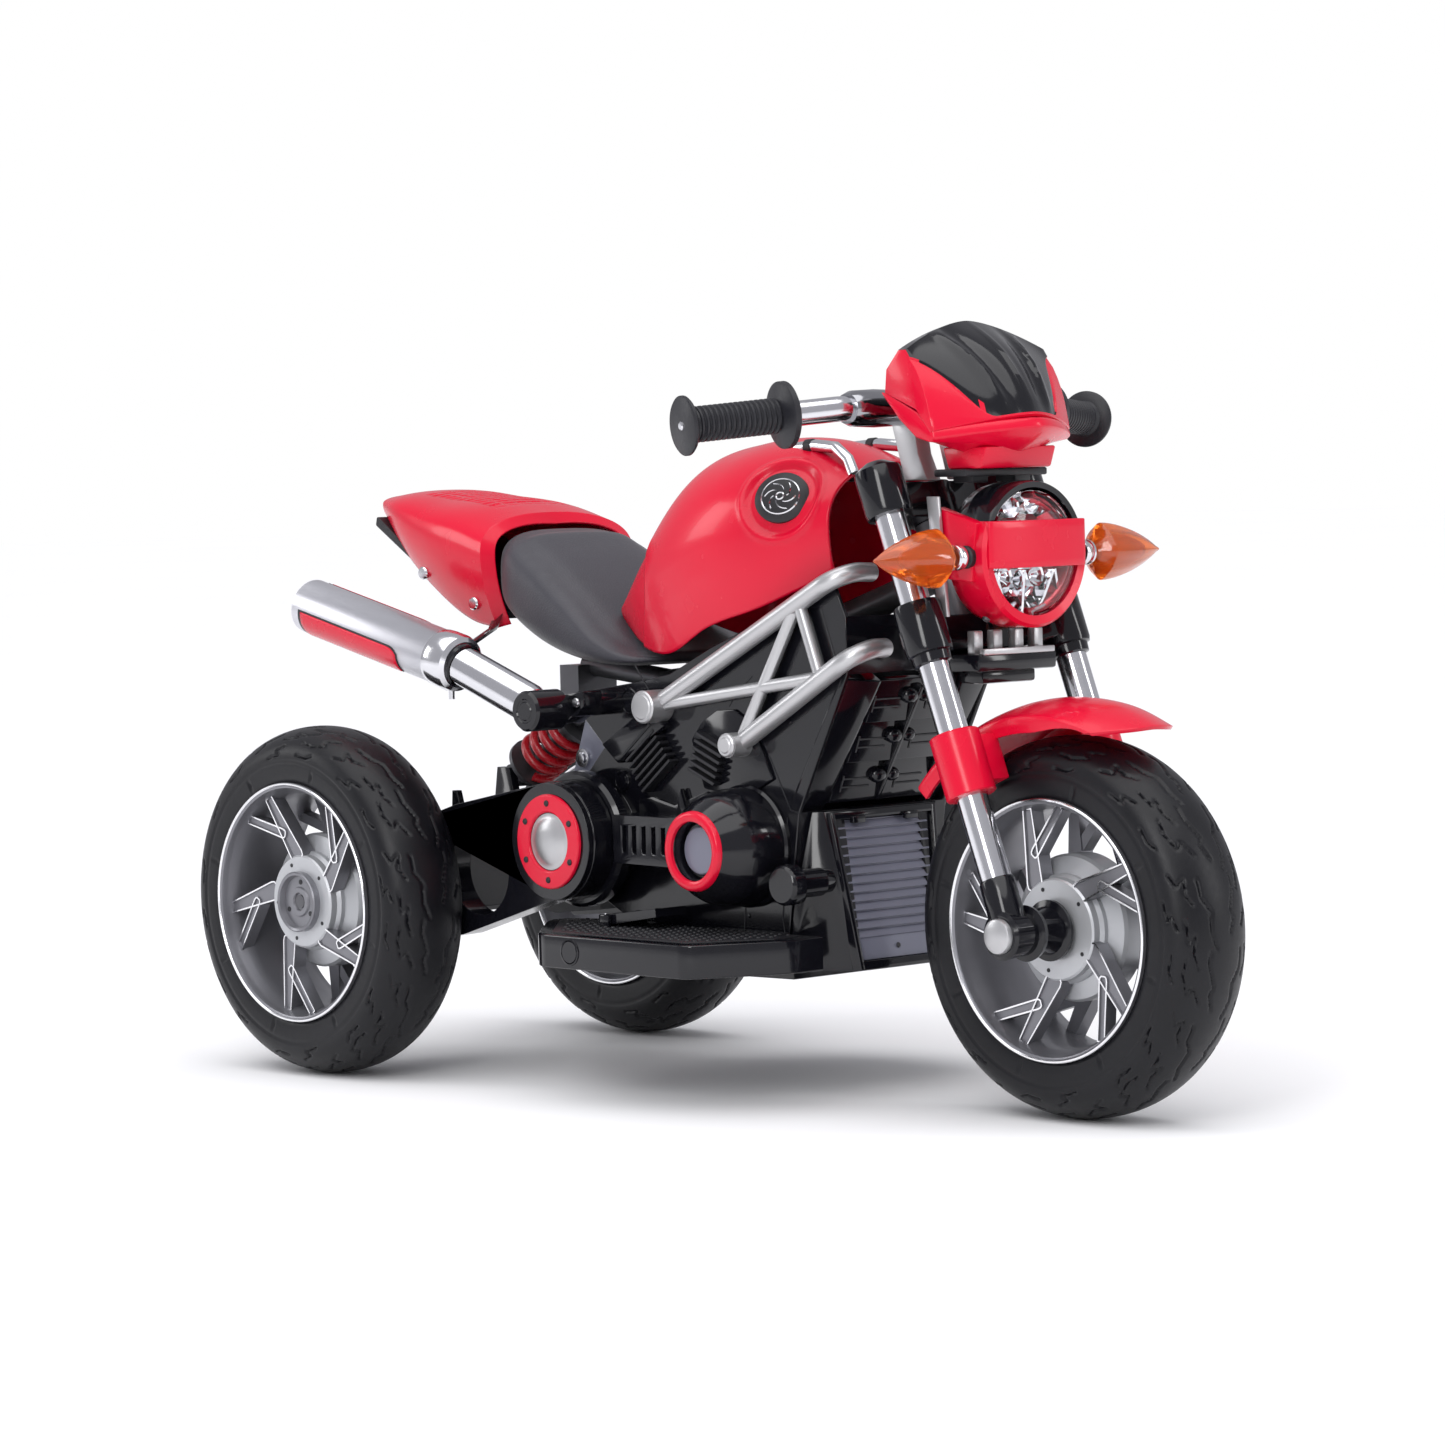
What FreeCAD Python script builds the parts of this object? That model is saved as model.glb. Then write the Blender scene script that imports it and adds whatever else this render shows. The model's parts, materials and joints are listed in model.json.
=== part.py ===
"""Ride-on electric trike styled as a naked motorcycle: one steered front wheel and two driven rear wheels.

Millimetres, +X forward, +Y to the rider's left, +Z up.  The origin is on the floor, half way
between the axles and in the middle of the track.
"""
import FreeCAD
import Part
import Sketcher
import math
import os

doc = FreeCAD.newDocument("ride_on_trike")
sheet = doc.addObject("Spreadsheet::Sheet", "dims")
vector = FreeCAD.Vector

# ---------------------------------------------------------------- driving dimensions
DIMENSIONS = {
    "wheelbase": 720, "rear_track": 360, "wheel_radius": 150, "rake": 20.9,
    "rim_radius": 103, "bead_radius": 100, "barrel_radius": 92, "rim_half_width": 43,
    "lip_thickness": 5, "tyre_half_width": 41, "hub_radius": 40, "hub_half_length": 30,
    "spoke_count": 5, "spoke_width": 9, "spoke_depth": 14, "axle_radius": 6, "running_gap": 0.05,
    "fork_radius": 12.5, "fork_half_gap": 78, "clamp_offset": 28, "collar_wall": 6.5,
    "lower_clamp_height": 236, "upper_clamp_height": 349, "clamp_depth": 30, "fork_length": 384,
    "stem_radius": 12, "head_wall": 5, "play": 0.5,
    "bar_radius": 10, "bar_height": 408, "bar_setback": 157, "grip_radius": 14, "grip_flange": 26.5,
    "grip_half_start": 141, "grip_half_end": 226, "grip_sweep": 40, "grip_drop": 11,
    "lamp_radius": 64, "lamp_depth": 52, "lamp_wall": 3, "lamp_forward": 59, "lamp_height": 283.6,
    "signal_half_root": 82, "signal_half_tip": 161, "signal_radius": 23,
    "fender_radius": 164, "fender_crown": 12, "fender_wall": 3.5, "fender_half_width": 47,
    "pivot_height": 207, "arm_length": 249, "arm_inner": 112, "arm_thickness": 22, "arm_boss": 50,
    "pivot_radius": 8, "boss_proud": 6, "shell_half_width": 84, "shell_wall": 4,
    "spine_radius": 12, "rail_radius": 9, "pivot_tube_wall": 5,
    "trellis_radius": 7.8, "brace_radius": 5.2, "trellis_gap": 0.2, "trellis_boss": 13,
    "cover_radius": 48, "cover_depth": 62, "ring_width": 8, "fin_height": 11,
    "board_half_width": 200, "board_height": 111, "board_thickness": 27,
    "muffler_radius": 23.5, "muffler_half_gap": 150, "muffler_length": 209, "pipe_radius": 17,
    "muffler_wall": 2, "panel_thickness": 1.2,
    "shock_radius": 24, "spring_wire": 4, "shock_pin": 5, "shock_tube": 11, "eye_clearance": 1.5,
    "pedal_length": 60, "pedal_width": 34, "pedal_thickness": 8, "pedal_lift": 8,
}
for row, (name, amount) in enumerate(DIMENSIONS.items(), 1):
    sheet.set(f"A{row}", name)
    sheet.set(f"B{row}", str(amount))
    sheet.setAlias(f"B{row}", name)
doc.recompute()


class Size:
    """A length or an angle that carries its value and the sheet formula it comes from."""

    def __init__(self, value, formula):
        self.value = float(value)
        self.formula = formula

    def __add__(self, other):
        other = size(other)
        return Size(self.value + other.value, f"({self.formula} + {other.formula})")

    def __sub__(self, other):
        other = size(other)
        return Size(self.value - other.value, f"({self.formula} - {other.formula})")

    def __mul__(self, other):
        other = size(other)
        return Size(self.value * other.value, f"({self.formula} * {other.formula})")

    def __truediv__(self, other):
        other = size(other)
        return Size(self.value / other.value, f"({self.formula} / {other.formula})")

    def __neg__(self):
        return Size(-self.value, f"(0 - {self.formula})")

    __radd__ = __add__

    def __rsub__(self, other):
        return size(other) - self

    def __rmul__(self, other):
        return size(other) * self


def size(amount):
    return amount if isinstance(amount, Size) else Size(amount, repr(float(amount)))


def value(amount):
    return size(amount).value


def cosine(angle):
    return Size(math.cos(math.radians(angle.value)), f"cos({angle.formula})")


def sine(angle):
    return Size(math.sin(math.radians(angle.value)), f"sin({angle.formula})")


def root(amount):
    return Size(math.sqrt(amount.value), f"sqrt({amount.formula})")


def bearing(rise, run):
    """The angle in degrees whose tangent is rise / run."""
    rise, run = size(rise), size(run)
    angle = math.degrees(math.atan2(rise.value, run.value))
    return Size(angle, f"(atan2({rise.formula}; {run.formula}) / 1 deg)")


D = {name: Size(sheet.get(name), f"dims.{name}") for name in DIMENSIONS}
X_AXIS, Y_AXIS, Z_AXIS = vector(1, 0, 0), vector(0, 1, 0), vector(0, 0, 1)


# ---------------------------------------------------------------- helpers
def bind(obj, **properties):
    """Ties properties to sheet formulas; x, y, z, Yaw, Pitch, Roll and Angle_ mean the placing."""
    paths = {"x": "Placement.Base.x", "y": "Placement.Base.y", "z": "Placement.Base.z",
             "Angle_": "Placement.Rotation.Angle", "Yaw": "Placement.Rotation.Yaw",
             "Pitch": "Placement.Rotation.Pitch", "Roll": "Placement.Rotation.Roll"}
    for name, amount in properties.items():
        obj.setExpression(paths.get(name, name), size(amount).formula)
    return obj


def put(obj, x=0, y=0, z=0, yaw=0, pitch=0, roll=0):
    """Places an object: turned by yaw, pitch and roll in degrees, then moved."""
    bind(obj, x=x, y=y, z=z)
    turns = [(axis, angle) for axis, angle in ((Z_AXIS, yaw), (Y_AXIS, pitch), (X_AXIS, roll))
             if value(angle)]
    if len(turns) == 1:
        axis, angle = turns[0]
        obj.Placement = FreeCAD.Placement(obj.Placement.Base, FreeCAD.Rotation(axis, value(angle)))
        bind(obj, Angle_=angle)
    elif turns:
        bind(obj, Yaw=yaw, Pitch=pitch, Roll=roll)
    return obj


def label(obj, name):
    obj.Label = name
    return obj


def new_body(name):
    return label(doc.addObject("PartDesign::Body", name + "_body"), name)


def sketch_on(body, plane, offset, outline):
    """A closed outline on one of the body's own origin planes, every corner bound to the sheet."""
    sketch = body.newObject("Sketcher::SketchObject", body.Name + "_sketch")
    support = [item for item in body.Origin.OriginFeatures if item.Role == plane][0]
    sketch.AttachmentSupport = [(support, "")]
    sketch.MapMode = "FlatFace"
    sketch.setExpression("AttachmentOffset.Base.z", size(offset).formula)
    corners = [vector(value(along), value(across), 0) for along, across in outline]
    count = len(corners)
    for index in range(count):
        sketch.addGeometry(Part.LineSegment(corners[index], corners[(index + 1) % count]), False)
    for index in range(count):
        sketch.addConstraint(Sketcher.Constraint("Coincident", index, 2, (index + 1) % count, 1))
    for index, (along, across) in enumerate(outline):
        for kind, amount in (("DistanceX", along), ("DistanceY", across)):
            number = sketch.addConstraint(Sketcher.Constraint(kind, -1, 1, index, 1, value(amount)))
            sketch.renameConstraint(number, f"{kind}{index}")
            sketch.setExpression(f"Constraints.{kind}{index}", size(amount).formula)
    return sketch


def plate(name, outline, low, high):
    """An outline in X and Z, padded from y = low to y = high."""
    body = new_body(name)
    pad = body.newObject("PartDesign::Pad", body.Name + "_pad")
    pad.Profile = sketch_on(body, "XZ_Plane", -size(high), outline)
    bind(pad, Length=size(high) - size(low))
    return body


def slab(name, outline, low, high):
    """An outline in X and Y, padded from z = low to z = high."""
    body = new_body(name)
    pad = body.newObject("PartDesign::Pad", body.Name + "_pad")
    pad.Profile = sketch_on(body, "XY_Plane", low, outline)
    bind(pad, Length=size(high) - size(low))
    return body


def turned(name, profile, sweep=360):
    """A profile of (radius, y) points turned about the Y axis."""
    body = new_body(name)
    turn = body.newObject("PartDesign::Revolution", body.Name + "_turn")
    turn.Profile = sketch_on(body, "XY_Plane", 0, profile)
    turn.ReferenceAxis = (turn.Profile[0], ["V_Axis"])
    turn.Angle = sweep
    return body


def loft(name, sections, hollow=None, ruled=False):
    """A solid through outlines of (y, z) points, each at its own x; hollow takes the same for a cavity."""
    body = new_body(name)
    for kind, stations in (("PartDesign::AdditiveLoft", sections), ("PartDesign::SubtractiveLoft", hollow)):
        if stations:
            sketches = [sketch_on(body, "YZ_Plane", station, outline) for station, outline in stations]
            feature = body.newObject(kind, body.Name + "_loft")
            feature.Profile = sketches[0]
            feature.Sections = sketches[1:]
            feature.Ruled = ruled
    return body


def cylinder(name, radius, length):
    obj = label(doc.addObject("Part::Cylinder", name), name)
    return bind(obj, Radius=radius, Height=length)


def rod(name, radius, start, end):
    """A round bar between two points."""
    if value(end[2]) < value(start[2]):
        start, end = end, start
    dx, dy, dz = (size(b) - size(a) for a, b in zip(start, end))
    level = root(dx * dx + dy * dy)
    obj = cylinder(name, radius, root(dx * dx + dy * dy + dz * dz))
    return put(obj, *start, yaw=bearing(dy, dx), pitch=bearing(level, dz))


def cross_rod(name, radius, x, z, low, high):
    """A round bar along Y, from y = low to y = high."""
    obj = cylinder(name, radius, size(high) - size(low))
    return put(obj, x, low, z, roll=-90)


def block(name, low, high):
    """A box between two opposite corners."""
    obj = label(doc.addObject("Part::Box", name), name)
    length, width, height = (size(b) - size(a) for a, b in zip(low, high))
    bind(obj, Length=length, Width=width, Height=height)
    return put(obj, *low)


def fuse(name, *pieces):
    obj = label(doc.addObject("Part::MultiFuse", name), name)
    obj.Shapes = list(pieces)
    obj.Refine = True
    return obj


def cut(name, base, tool):
    obj = label(doc.addObject("Part::Cut", name), name)
    obj.Base = base
    obj.Tool = tool
    return obj


def common(name, base, tool):
    obj = label(doc.addObject("Part::Common", name), name)
    obj.Base = base
    obj.Tool = tool
    return obj


def mirrored(name, source):
    """The same piece on the other side of the middle plane."""
    obj = label(doc.addObject("Part::Mirroring", name), name)
    obj.Source = source
    obj.Normal = Y_AXIS
    return obj


def group(name, *pieces):
    """Separate solids that share one node."""
    obj = label(doc.addObject("Part::Compound", name), name)
    obj.Links = list(pieces)
    return obj


def both_sides(name, right_piece):
    return group(name, right_piece, mirrored(name + "_other_side", right_piece))


def arc_points(centre_x, centre_z, radius, start, stop, steps):
    """Corners of an arc in the XZ plane, angles in degrees from +X towards +Z."""
    points = []
    for step in range(steps + 1):
        angle = math.radians(start + (stop - start) * step / steps)
        points.append((centre_x + radius * math.cos(angle), centre_z + radius * math.sin(angle)))
    return points


def bent_tube(points, radius, bend):
    """A round tube along straight runs joined by tangent arcs."""
    points = [vector(*(value(part) for part in point)) for point in points]
    edges = []
    start = points[0]
    for before, corner, after in zip(points, points[1:], points[2:]):
        inward, outward = (before - corner).normalize(), (after - corner).normalize()
        half = inward.getAngle(outward) / 2
        reach = bend / math.tan(half)
        middle = (inward + outward).normalize() * (bend / math.sin(half) - bend)
        arc_start, arc_end = corner + inward * reach, corner + outward * reach
        edges.append(Part.LineSegment(start, arc_start).toShape())
        edges.append(Part.Arc(arc_start, corner + middle, arc_end).toShape())
        start = arc_end
    edges.append(Part.LineSegment(start, points[-1]).toShape())
    path = Part.Wire(edges)
    direction = points[1] - points[0]
    section = Part.Wire(Part.makeCircle(value(radius), points[0], direction))
    return path.makePipeShell([section], True, False)


def feature(name, shape):
    obj = label(doc.addObject("Part::Feature", name), name)
    obj.Shape = shape
    return obj


# ---------------------------------------------------------------- places that many pieces share
FRONT_X = D["wheelbase"] / 2
REAR_X = -D["wheelbase"] / 2
AXLE_Z = D["wheel_radius"]
PIVOT_X = REAR_X + D["arm_length"]
PIVOT_Z = D["pivot_height"]
HEAD_Z = 430                          # a height between the two fork clamps
SIDE = D["shell_half_width"]


def fork_point(forward, up):
    """A place given square to and along the fork legs, measured from the front axle."""
    x = FRONT_X + forward * cosine(D["rake"]) - up * sine(D["rake"])
    z = AXLE_Z + forward * sine(D["rake"]) + up * cosine(D["rake"])
    return x, z


TAN_RAKE = sine(D["rake"]) / cosine(D["rake"])
HEAD_X = FRONT_X - (HEAD_Z - AXLE_Z) * TAN_RAKE - D["clamp_offset"] / cosine(D["rake"])


def on_fork(obj):
    """Moves a piece drawn in the fork's own frame, +Z along the legs, onto the machine."""
    return put(obj, FRONT_X, 0, AXLE_Z, pitch=-D["rake"])


def from_pivot(points):
    return [(PIVOT_X + dx, z) for dx, z in points]


def from_head(points):
    return [(HEAD_X + dx, z) for dx, z in points]


# ---------------------------------------------------------------- wheels
def tyre(name, x, y):
    """A closed round-crowned tyre seated on the rim's bead."""
    half, bead, lip = D["tyre_half_width"], D["bead_radius"], D["rim_half_width"] - D["lip_thickness"]
    shoulder = D["rim_radius"] + 20
    crown = D["wheel_radius"] - shoulder
    profile = [(bead, -lip), (D["rim_radius"], -lip), (D["rim_radius"] + 2, -half + 1.5)]
    for step in range(13):
        angle = math.radians(180 * step / 12)
        profile.append((shoulder + crown * math.sin(angle), -half * math.cos(angle)))
    profile += [(D["rim_radius"] + 2, half - 1.5), (D["rim_radius"], lip), (bead, lip)]
    return put(turned(name, profile), x, y, AXLE_Z)


def rim(name, x, y, outward, sweep):
    """A cast rim: barrel with two lips, hub, and five long and five short blades on the outer side."""
    lip, bead, barrel = D["rim_half_width"] - D["lip_thickness"], D["bead_radius"], D["barrel_radius"]
    edge, hub = D["rim_half_width"], D["hub_radius"]
    bore = D["axle_radius"] + D["running_gap"]
    ring = turned(name + "_barrel", [
        (barrel, -edge), (D["rim_radius"], -edge), (D["rim_radius"], -lip), (bead, -lip),
        (bead, lip), (D["rim_radius"], lip), (D["rim_radius"], edge), (barrel, edge)])
    middle = turned(name + "_hub", [
        (bore, -D["hub_half_length"]), (hub * 0.6, -D["hub_half_length"]), (hub * 0.6, 8), (hub, 12),
        (hub, D["hub_half_length"]), (bore, D["hub_half_length"])])
    blades = []
    count = int(value(D["spoke_count"]))
    for index in range(count):
        turn = 360 * index / count
        for part, reach, start_radius, start_turn, lean in (
                ("long", 72, 34, 0, 50), ("short", 48, 62, 14, 62)):
            blade = block(f"{name}_{part}_{index}", (0, 0, 0), (reach, D["spoke_depth"], D["spoke_width"]))
            angle = math.radians(turn + start_turn)
            start = vector(start_radius * math.cos(angle), 0, start_radius * math.sin(angle))
            heading = turn + start_turn + lean * sweep * 0.5
            put(blade, start.x, D["hub_half_length"] - D["spoke_depth"], start.z, pitch=-heading)
            blades.append(blade)
    inside = turned(name + "_inside", [(0, -edge), (barrel + 1, -edge), (barrel + 1, edge), (0, edge)])
    spokes = common(name + "_spokes", fuse(name + "_blades", *blades), inside)
    wheel = fuse(name, ring, middle, spokes)
    return put(wheel, x, y, AXLE_Z, yaw=0 if outward > 0 else 180)


def wheel_nodes():
    rear_y = D["rear_track"] / 2
    nodes = [tyre("front_tyre", FRONT_X, 0), rim("front_rim", FRONT_X, 0, -1, 1)]
    for side, y, outward in (("right", -rear_y, -1), ("left", rear_y, 1)):
        nodes.append(tyre("rear_tyre_" + side, REAR_X, y))
        nodes.append(rim("rear_rim_" + side, REAR_X, y, outward, 1))
        cap = turned("rear_hub_cap_" + side, [
            (0, D["hub_half_length"] + 3), (D["axle_radius"] + 3, D["hub_half_length"] + 3),
            (D["axle_radius"] + 3, D["hub_half_length"]), (26, D["hub_half_length"]),
            (26, D["hub_half_length"] + 5), (22, D["hub_half_length"] + 8), (0, D["hub_half_length"] + 8)])
        nodes.append(put(cap, REAR_X, y, AXLE_Z, yaw=0 if outward > 0 else 180))
    return nodes


# ---------------------------------------------------------------- steering
def fork_clamp(name, height):
    """One bridge plate with a collar for each fork leg and a boss for the stem."""
    top = height + D["clamp_depth"]
    half, back = D["fork_half_gap"], -D["clamp_offset"]
    bridge = [(back - 16, -22), (-11, -half), (11, -half), (8, 20 - half), (-12, -40),
              (-12, 40), (8, half - 20), (11, half), (-11, half), (back - 16, 22)]
    pieces = [slab(name + "_bridge", bridge, height, top)]
    holes = []
    for y, outer, inner in ((-half, D["fork_radius"] + D["collar_wall"], D["fork_radius"]),
                            (half, D["fork_radius"] + D["collar_wall"], D["fork_radius"]),
                            (0, D["stem_radius"] + 8, D["stem_radius"])):
        x = back if y == 0 else 0
        pieces.append(put(cylinder(name + "_collar", outer, D["clamp_depth"]), x, y, height))
        holes.append(put(cylinder(name + "_hole", inner, 2 * top), x, y, 0))
    return cut(name, fuse(name + "_solid", *pieces), fuse(name + "_holes", *holes))


def fork_nodes():
    half, gap = D["fork_half_gap"], D["play"]
    lower, upper = D["lower_clamp_height"], D["upper_clamp_height"]
    clamps = group("fork_clamps", fork_clamp("lower_clamp", lower), fork_clamp("upper_clamp", upper))
    stem = on_fork_at(cylinder("steering_stem", D["stem_radius"], upper + D["clamp_depth"] - lower),
                      -D["clamp_offset"], 0, lower)
    tube_start = 44
    tubes = group("fork_tubes", *(put(cylinder("fork_tube", D["fork_radius"], D["fork_length"] - tube_start),
                                      0, half * side, tube_start) for side in (-1, 1)))
    foot = fuse("fork_foot",
                put(cylinder("foot_leg", D["fork_radius"] + 1.5, tube_start), 0, -half, 0),
                cross_rod("foot_boss", 19, 0, 0, -half - 12, -half + 12),
                cross_rod("foot_spacer", 13, 0, 0, -half + 12, -D["hub_half_length"] - gap))
    axle_hole = cross_rod("foot_hole", D["axle_radius"], 0, 0, -half - 20, 0)
    feet = both_sides("fork_feet", cut("fork_foot_bored", foot, axle_hole))
    cap_y = half + D["fork_radius"] + 2
    axle = fuse("front_axle", cross_rod("axle_bar", D["axle_radius"], 0, 0, -cap_y, cap_y),
                cross_rod("axle_head_right", 14, 0, 0, -cap_y - 5, -cap_y),
                cross_rod("axle_head_left", 14, 0, 0, cap_y, cap_y + 5))
    nodes = [clamps, tubes, feet, axle]
    for node in nodes:
        on_fork(node)
    return nodes + [stem]


def fender_node():
    """A crowned strip over the tyre with a sleeve round each fork leg."""
    inner, half, wall = D["fender_radius"], D["fender_half_width"], D["fender_wall"]
    crown = D["fender_crown"]
    outline = [(inner - 10, -half - wall), (inner, -half - wall), (inner + crown * 0.6, -half * 0.62),
               (inner + crown + wall, 0), (inner + crown * 0.6, half * 0.62), (inner, half + wall),
               (inner - 10, half + wall), (inner - 10, half), (inner - 4, half),
               (inner + crown * 0.4, half * 0.5), (inner + crown, 0), (inner + crown * 0.4, -half * 0.5),
               (inner - 4, -half), (inner - 10, -half)]
    start, sweep = 62, 78
    strip = turned("fender_strip", outline, sweep)
    put(strip, FRONT_X, 0, AXLE_Z, pitch=-start - sweep)
    sleeve = D["fork_radius"] + D["collar_wall"] + 1
    low, tall = 114, 50
    pieces = [strip]
    holes = []
    for side in (-1, 1):
        y = D["fork_half_gap"] * side
        pieces.append(on_fork_at(cylinder("fender_sleeve", sleeve, tall), 0, y, low))
        web = block("fender_web", (-16, 0, low + 8),
                    (16, D["fork_half_gap"] - half - wall + 2, low + tall - 4))
        web_y = half if side > 0 else -D["fork_half_gap"]
        pieces.append(on_fork_at(web, -16, web_y, low + 8))
        holes.append(on_fork_at(cylinder("fender_hole", D["fork_radius"], 2 * tall), 0, y, low - 20))
    return cut("front_fender", fuse("fender_solid", *pieces), fuse("fender_holes", *holes))


def on_fork_at(obj, forward, y, up):
    """Moves a piece drawn at the origin to a place on the fork, tilted with it."""
    x, z = fork_point(forward, up)
    return put(obj, x, y, z, pitch=-D["rake"])


def lamp_profile(radius, depth, wall):
    """Half outline of the lamp's bowl as (radius, distance back from the rim) points."""
    return [(radius - wall, 0), (radius, 0), (radius, depth * 0.45), (radius * 0.86, depth * 0.85),
            (radius * 0.5, depth), (0, depth), (0, depth - wall), (radius * 0.46, depth - wall),
            (radius * 0.86 - wall, depth * 0.8), (radius - wall, depth * 0.45)]


def lamp_nodes():
    """A round lamp facing forward: dark upper case, coloured bowl, reflector, lens."""
    radius, depth, wall = D["lamp_radius"], D["lamp_depth"], D["lamp_wall"]
    x, z = fork_point(D["lamp_forward"], D["lamp_height"])
    split = 26

    def facing(obj):
        """Turns a piece drawn about Y so that its back points to -X."""
        return put(obj, x, 0, z, yaw=90)

    nodes = []
    for name, low, high in (("headlight_case", z + split, z + 2 * radius),
                            ("headlight_bowl", z - 2 * radius, z + split)):
        shell = facing(turned(name + "_turn", lamp_profile(radius, depth, wall)))
        window = block(name + "_window", (x - 2 * depth, -2 * radius, low), (x + depth, 2 * radius, high))
        nodes.append(common(name, shell, window))
    inside = radius - wall - 0.3
    reflector = facing(turned("headlight_reflector", [
        (inside, 6), (inside, 8), (inside * 0.7, 24), (10, 30), (10, 28), (inside * 0.68, 22)]))
    lens = facing(turned("headlight_lens", [
        (0, -9), (inside * 0.5, -7), (inside * 0.85, -2), (inside, 2), (inside, 5), (inside - 2, 5),
        (inside * 0.85 - 1, 0.5), (inside * 0.5, -4.5), (0, -6.5)]))
    nodes += [reflector, lens]
    root_y, tip_y, reach = D["signal_half_root"], D["signal_half_tip"], D["signal_radius"]
    stem = cross_rod("signal_stem", 9, x - 12, z + 4, -root_y, -radius)
    nodes.append(both_sides("signal_stems", stem))
    lens_shape = turned("signal_lens", [
        (0, root_y), (8, root_y), (reach, root_y + 13), (reach * 0.86, root_y + 30),
        (reach * 0.5, root_y + 58), (4, tip_y), (0, tip_y)])
    put(lens_shape, x - 12, 0, z + 4)
    nodes.append(group("signal_lenses", lens_shape, mirrored("signal_lens_other_side", lens_shape)))
    return nodes


def cowl_nodes():
    """A small visor over the lamp: coloured shell below, dark screen above."""
    x, z = fork_point(D["lamp_forward"], D["lamp_height"])
    z = z + 64

    def across(name, middle, edge, half):
        body = new_body(name)
        sketches = [sketch_on(body, "XZ_Plane", -y, points)
                    for y, points in ((-half, edge), (0, middle), (half, edge))]
        shape = body.newObject("PartDesign::AdditiveLoft", name + "_loft")
        shape.Profile = sketches[0]
        shape.Sections = sketches[1:]
        shape.Ruled = True
        return put(body, x, 0, z)

    cowl = across("front_cowl",
                  [(-86, 16), (-26, 11), (16, 36), (8, 42), (-40, 44), (-86, 48)],
                  [(-82, 54), (-50, 22), (-30, 20), (-30, 28), (-50, 52), (-76, 62)], size(78))
    screen = across("wind_screen",
                    [(-86, 48.5), (-40, 44.5), (8, 42.5), (4, 52), (-65, 120), (-80, 116)],
                    [(-76, 62.5), (-50, 52.5), (-30, 28.5), (-30, 32), (-58, 98), (-66, 96)], size(78))
    return [cowl, screen]


def bar_nodes():
    """Handlebar with swept ends, its clamp, and two ribbed grips with guard flanges."""
    x, z = FRONT_X - D["bar_setback"], AXLE_Z + D["bar_height"]
    start, end = D["grip_half_start"], D["grip_half_end"]
    sweep, drop = D["grip_sweep"], D["grip_drop"]
    lead = 44
    bend_y = start - lead
    slope_x, slope_z = sweep / (end - bend_y), drop / (end - bend_y)
    path = [(x - sweep, -end, z - drop), (x, -bend_y, z), (x, bend_y, z), (x - sweep, end, z - drop)]
    bar = feature("handlebar", bent_tube(path, D["bar_radius"], 40))
    reach = root(sweep * sweep + drop * drop + (end - bend_y) * (end - bend_y))
    grip_long = reach * (end - start) / (end - bend_y)
    bore = D["bar_radius"]
    flange, grip = D["grip_flange"], D["grip_radius"]
    profile = [(bore, 0), (flange, 0), (flange, 7), (grip, 9), (grip, grip_long - 6),
               (flange - 3, grip_long - 4), (flange - 3, grip_long), (bore, grip_long)]
    grips = []
    for side in (-1, 1):
        piece = turned("grip", profile)
        root_x = x - slope_x * (start - bend_y)
        root_z = z - slope_z * (start - bend_y)
        level = root(sweep * sweep + (end - bend_y) * (end - bend_y))
        turn = bearing(sweep, end - bend_y)
        dip = bearing(drop, level)
        if side > 0:
            put(piece, root_x, start, root_z, yaw=turn, roll=-dip)
        else:
            put(piece, root_x, -start, root_z, yaw=180 - turn, roll=-dip)
        grips.append(piece)
    clamp_x, clamp_z = fork_point(-D["clamp_offset"] + 14, D["upper_clamp_height"] + D["clamp_depth"])
    foot = 20                             # how far back the risers stand on the upper clamp
    sleeve = cross_rod("bar_sleeve", D["bar_radius"] + 5, x, z, -86, 86)
    pieces = [sleeve]
    for side in (-1, 1):
        outline = [(x - 12, z), (clamp_x - foot, clamp_z + 8), (clamp_x - foot + 4, clamp_z),
                   (clamp_x + 8, clamp_z + 3), (x + 12, z)]
        pieces.append(plate("riser", outline, 24 * side - 8, 24 * side + 8))
    mount = cut("bar_mounts", fuse("bar_mount_solid", *pieces),
                cross_rod("bar_hole", D["bar_radius"], x, z, -90, 90))
    return [bar, group("grips", *grips), mount]


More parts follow.
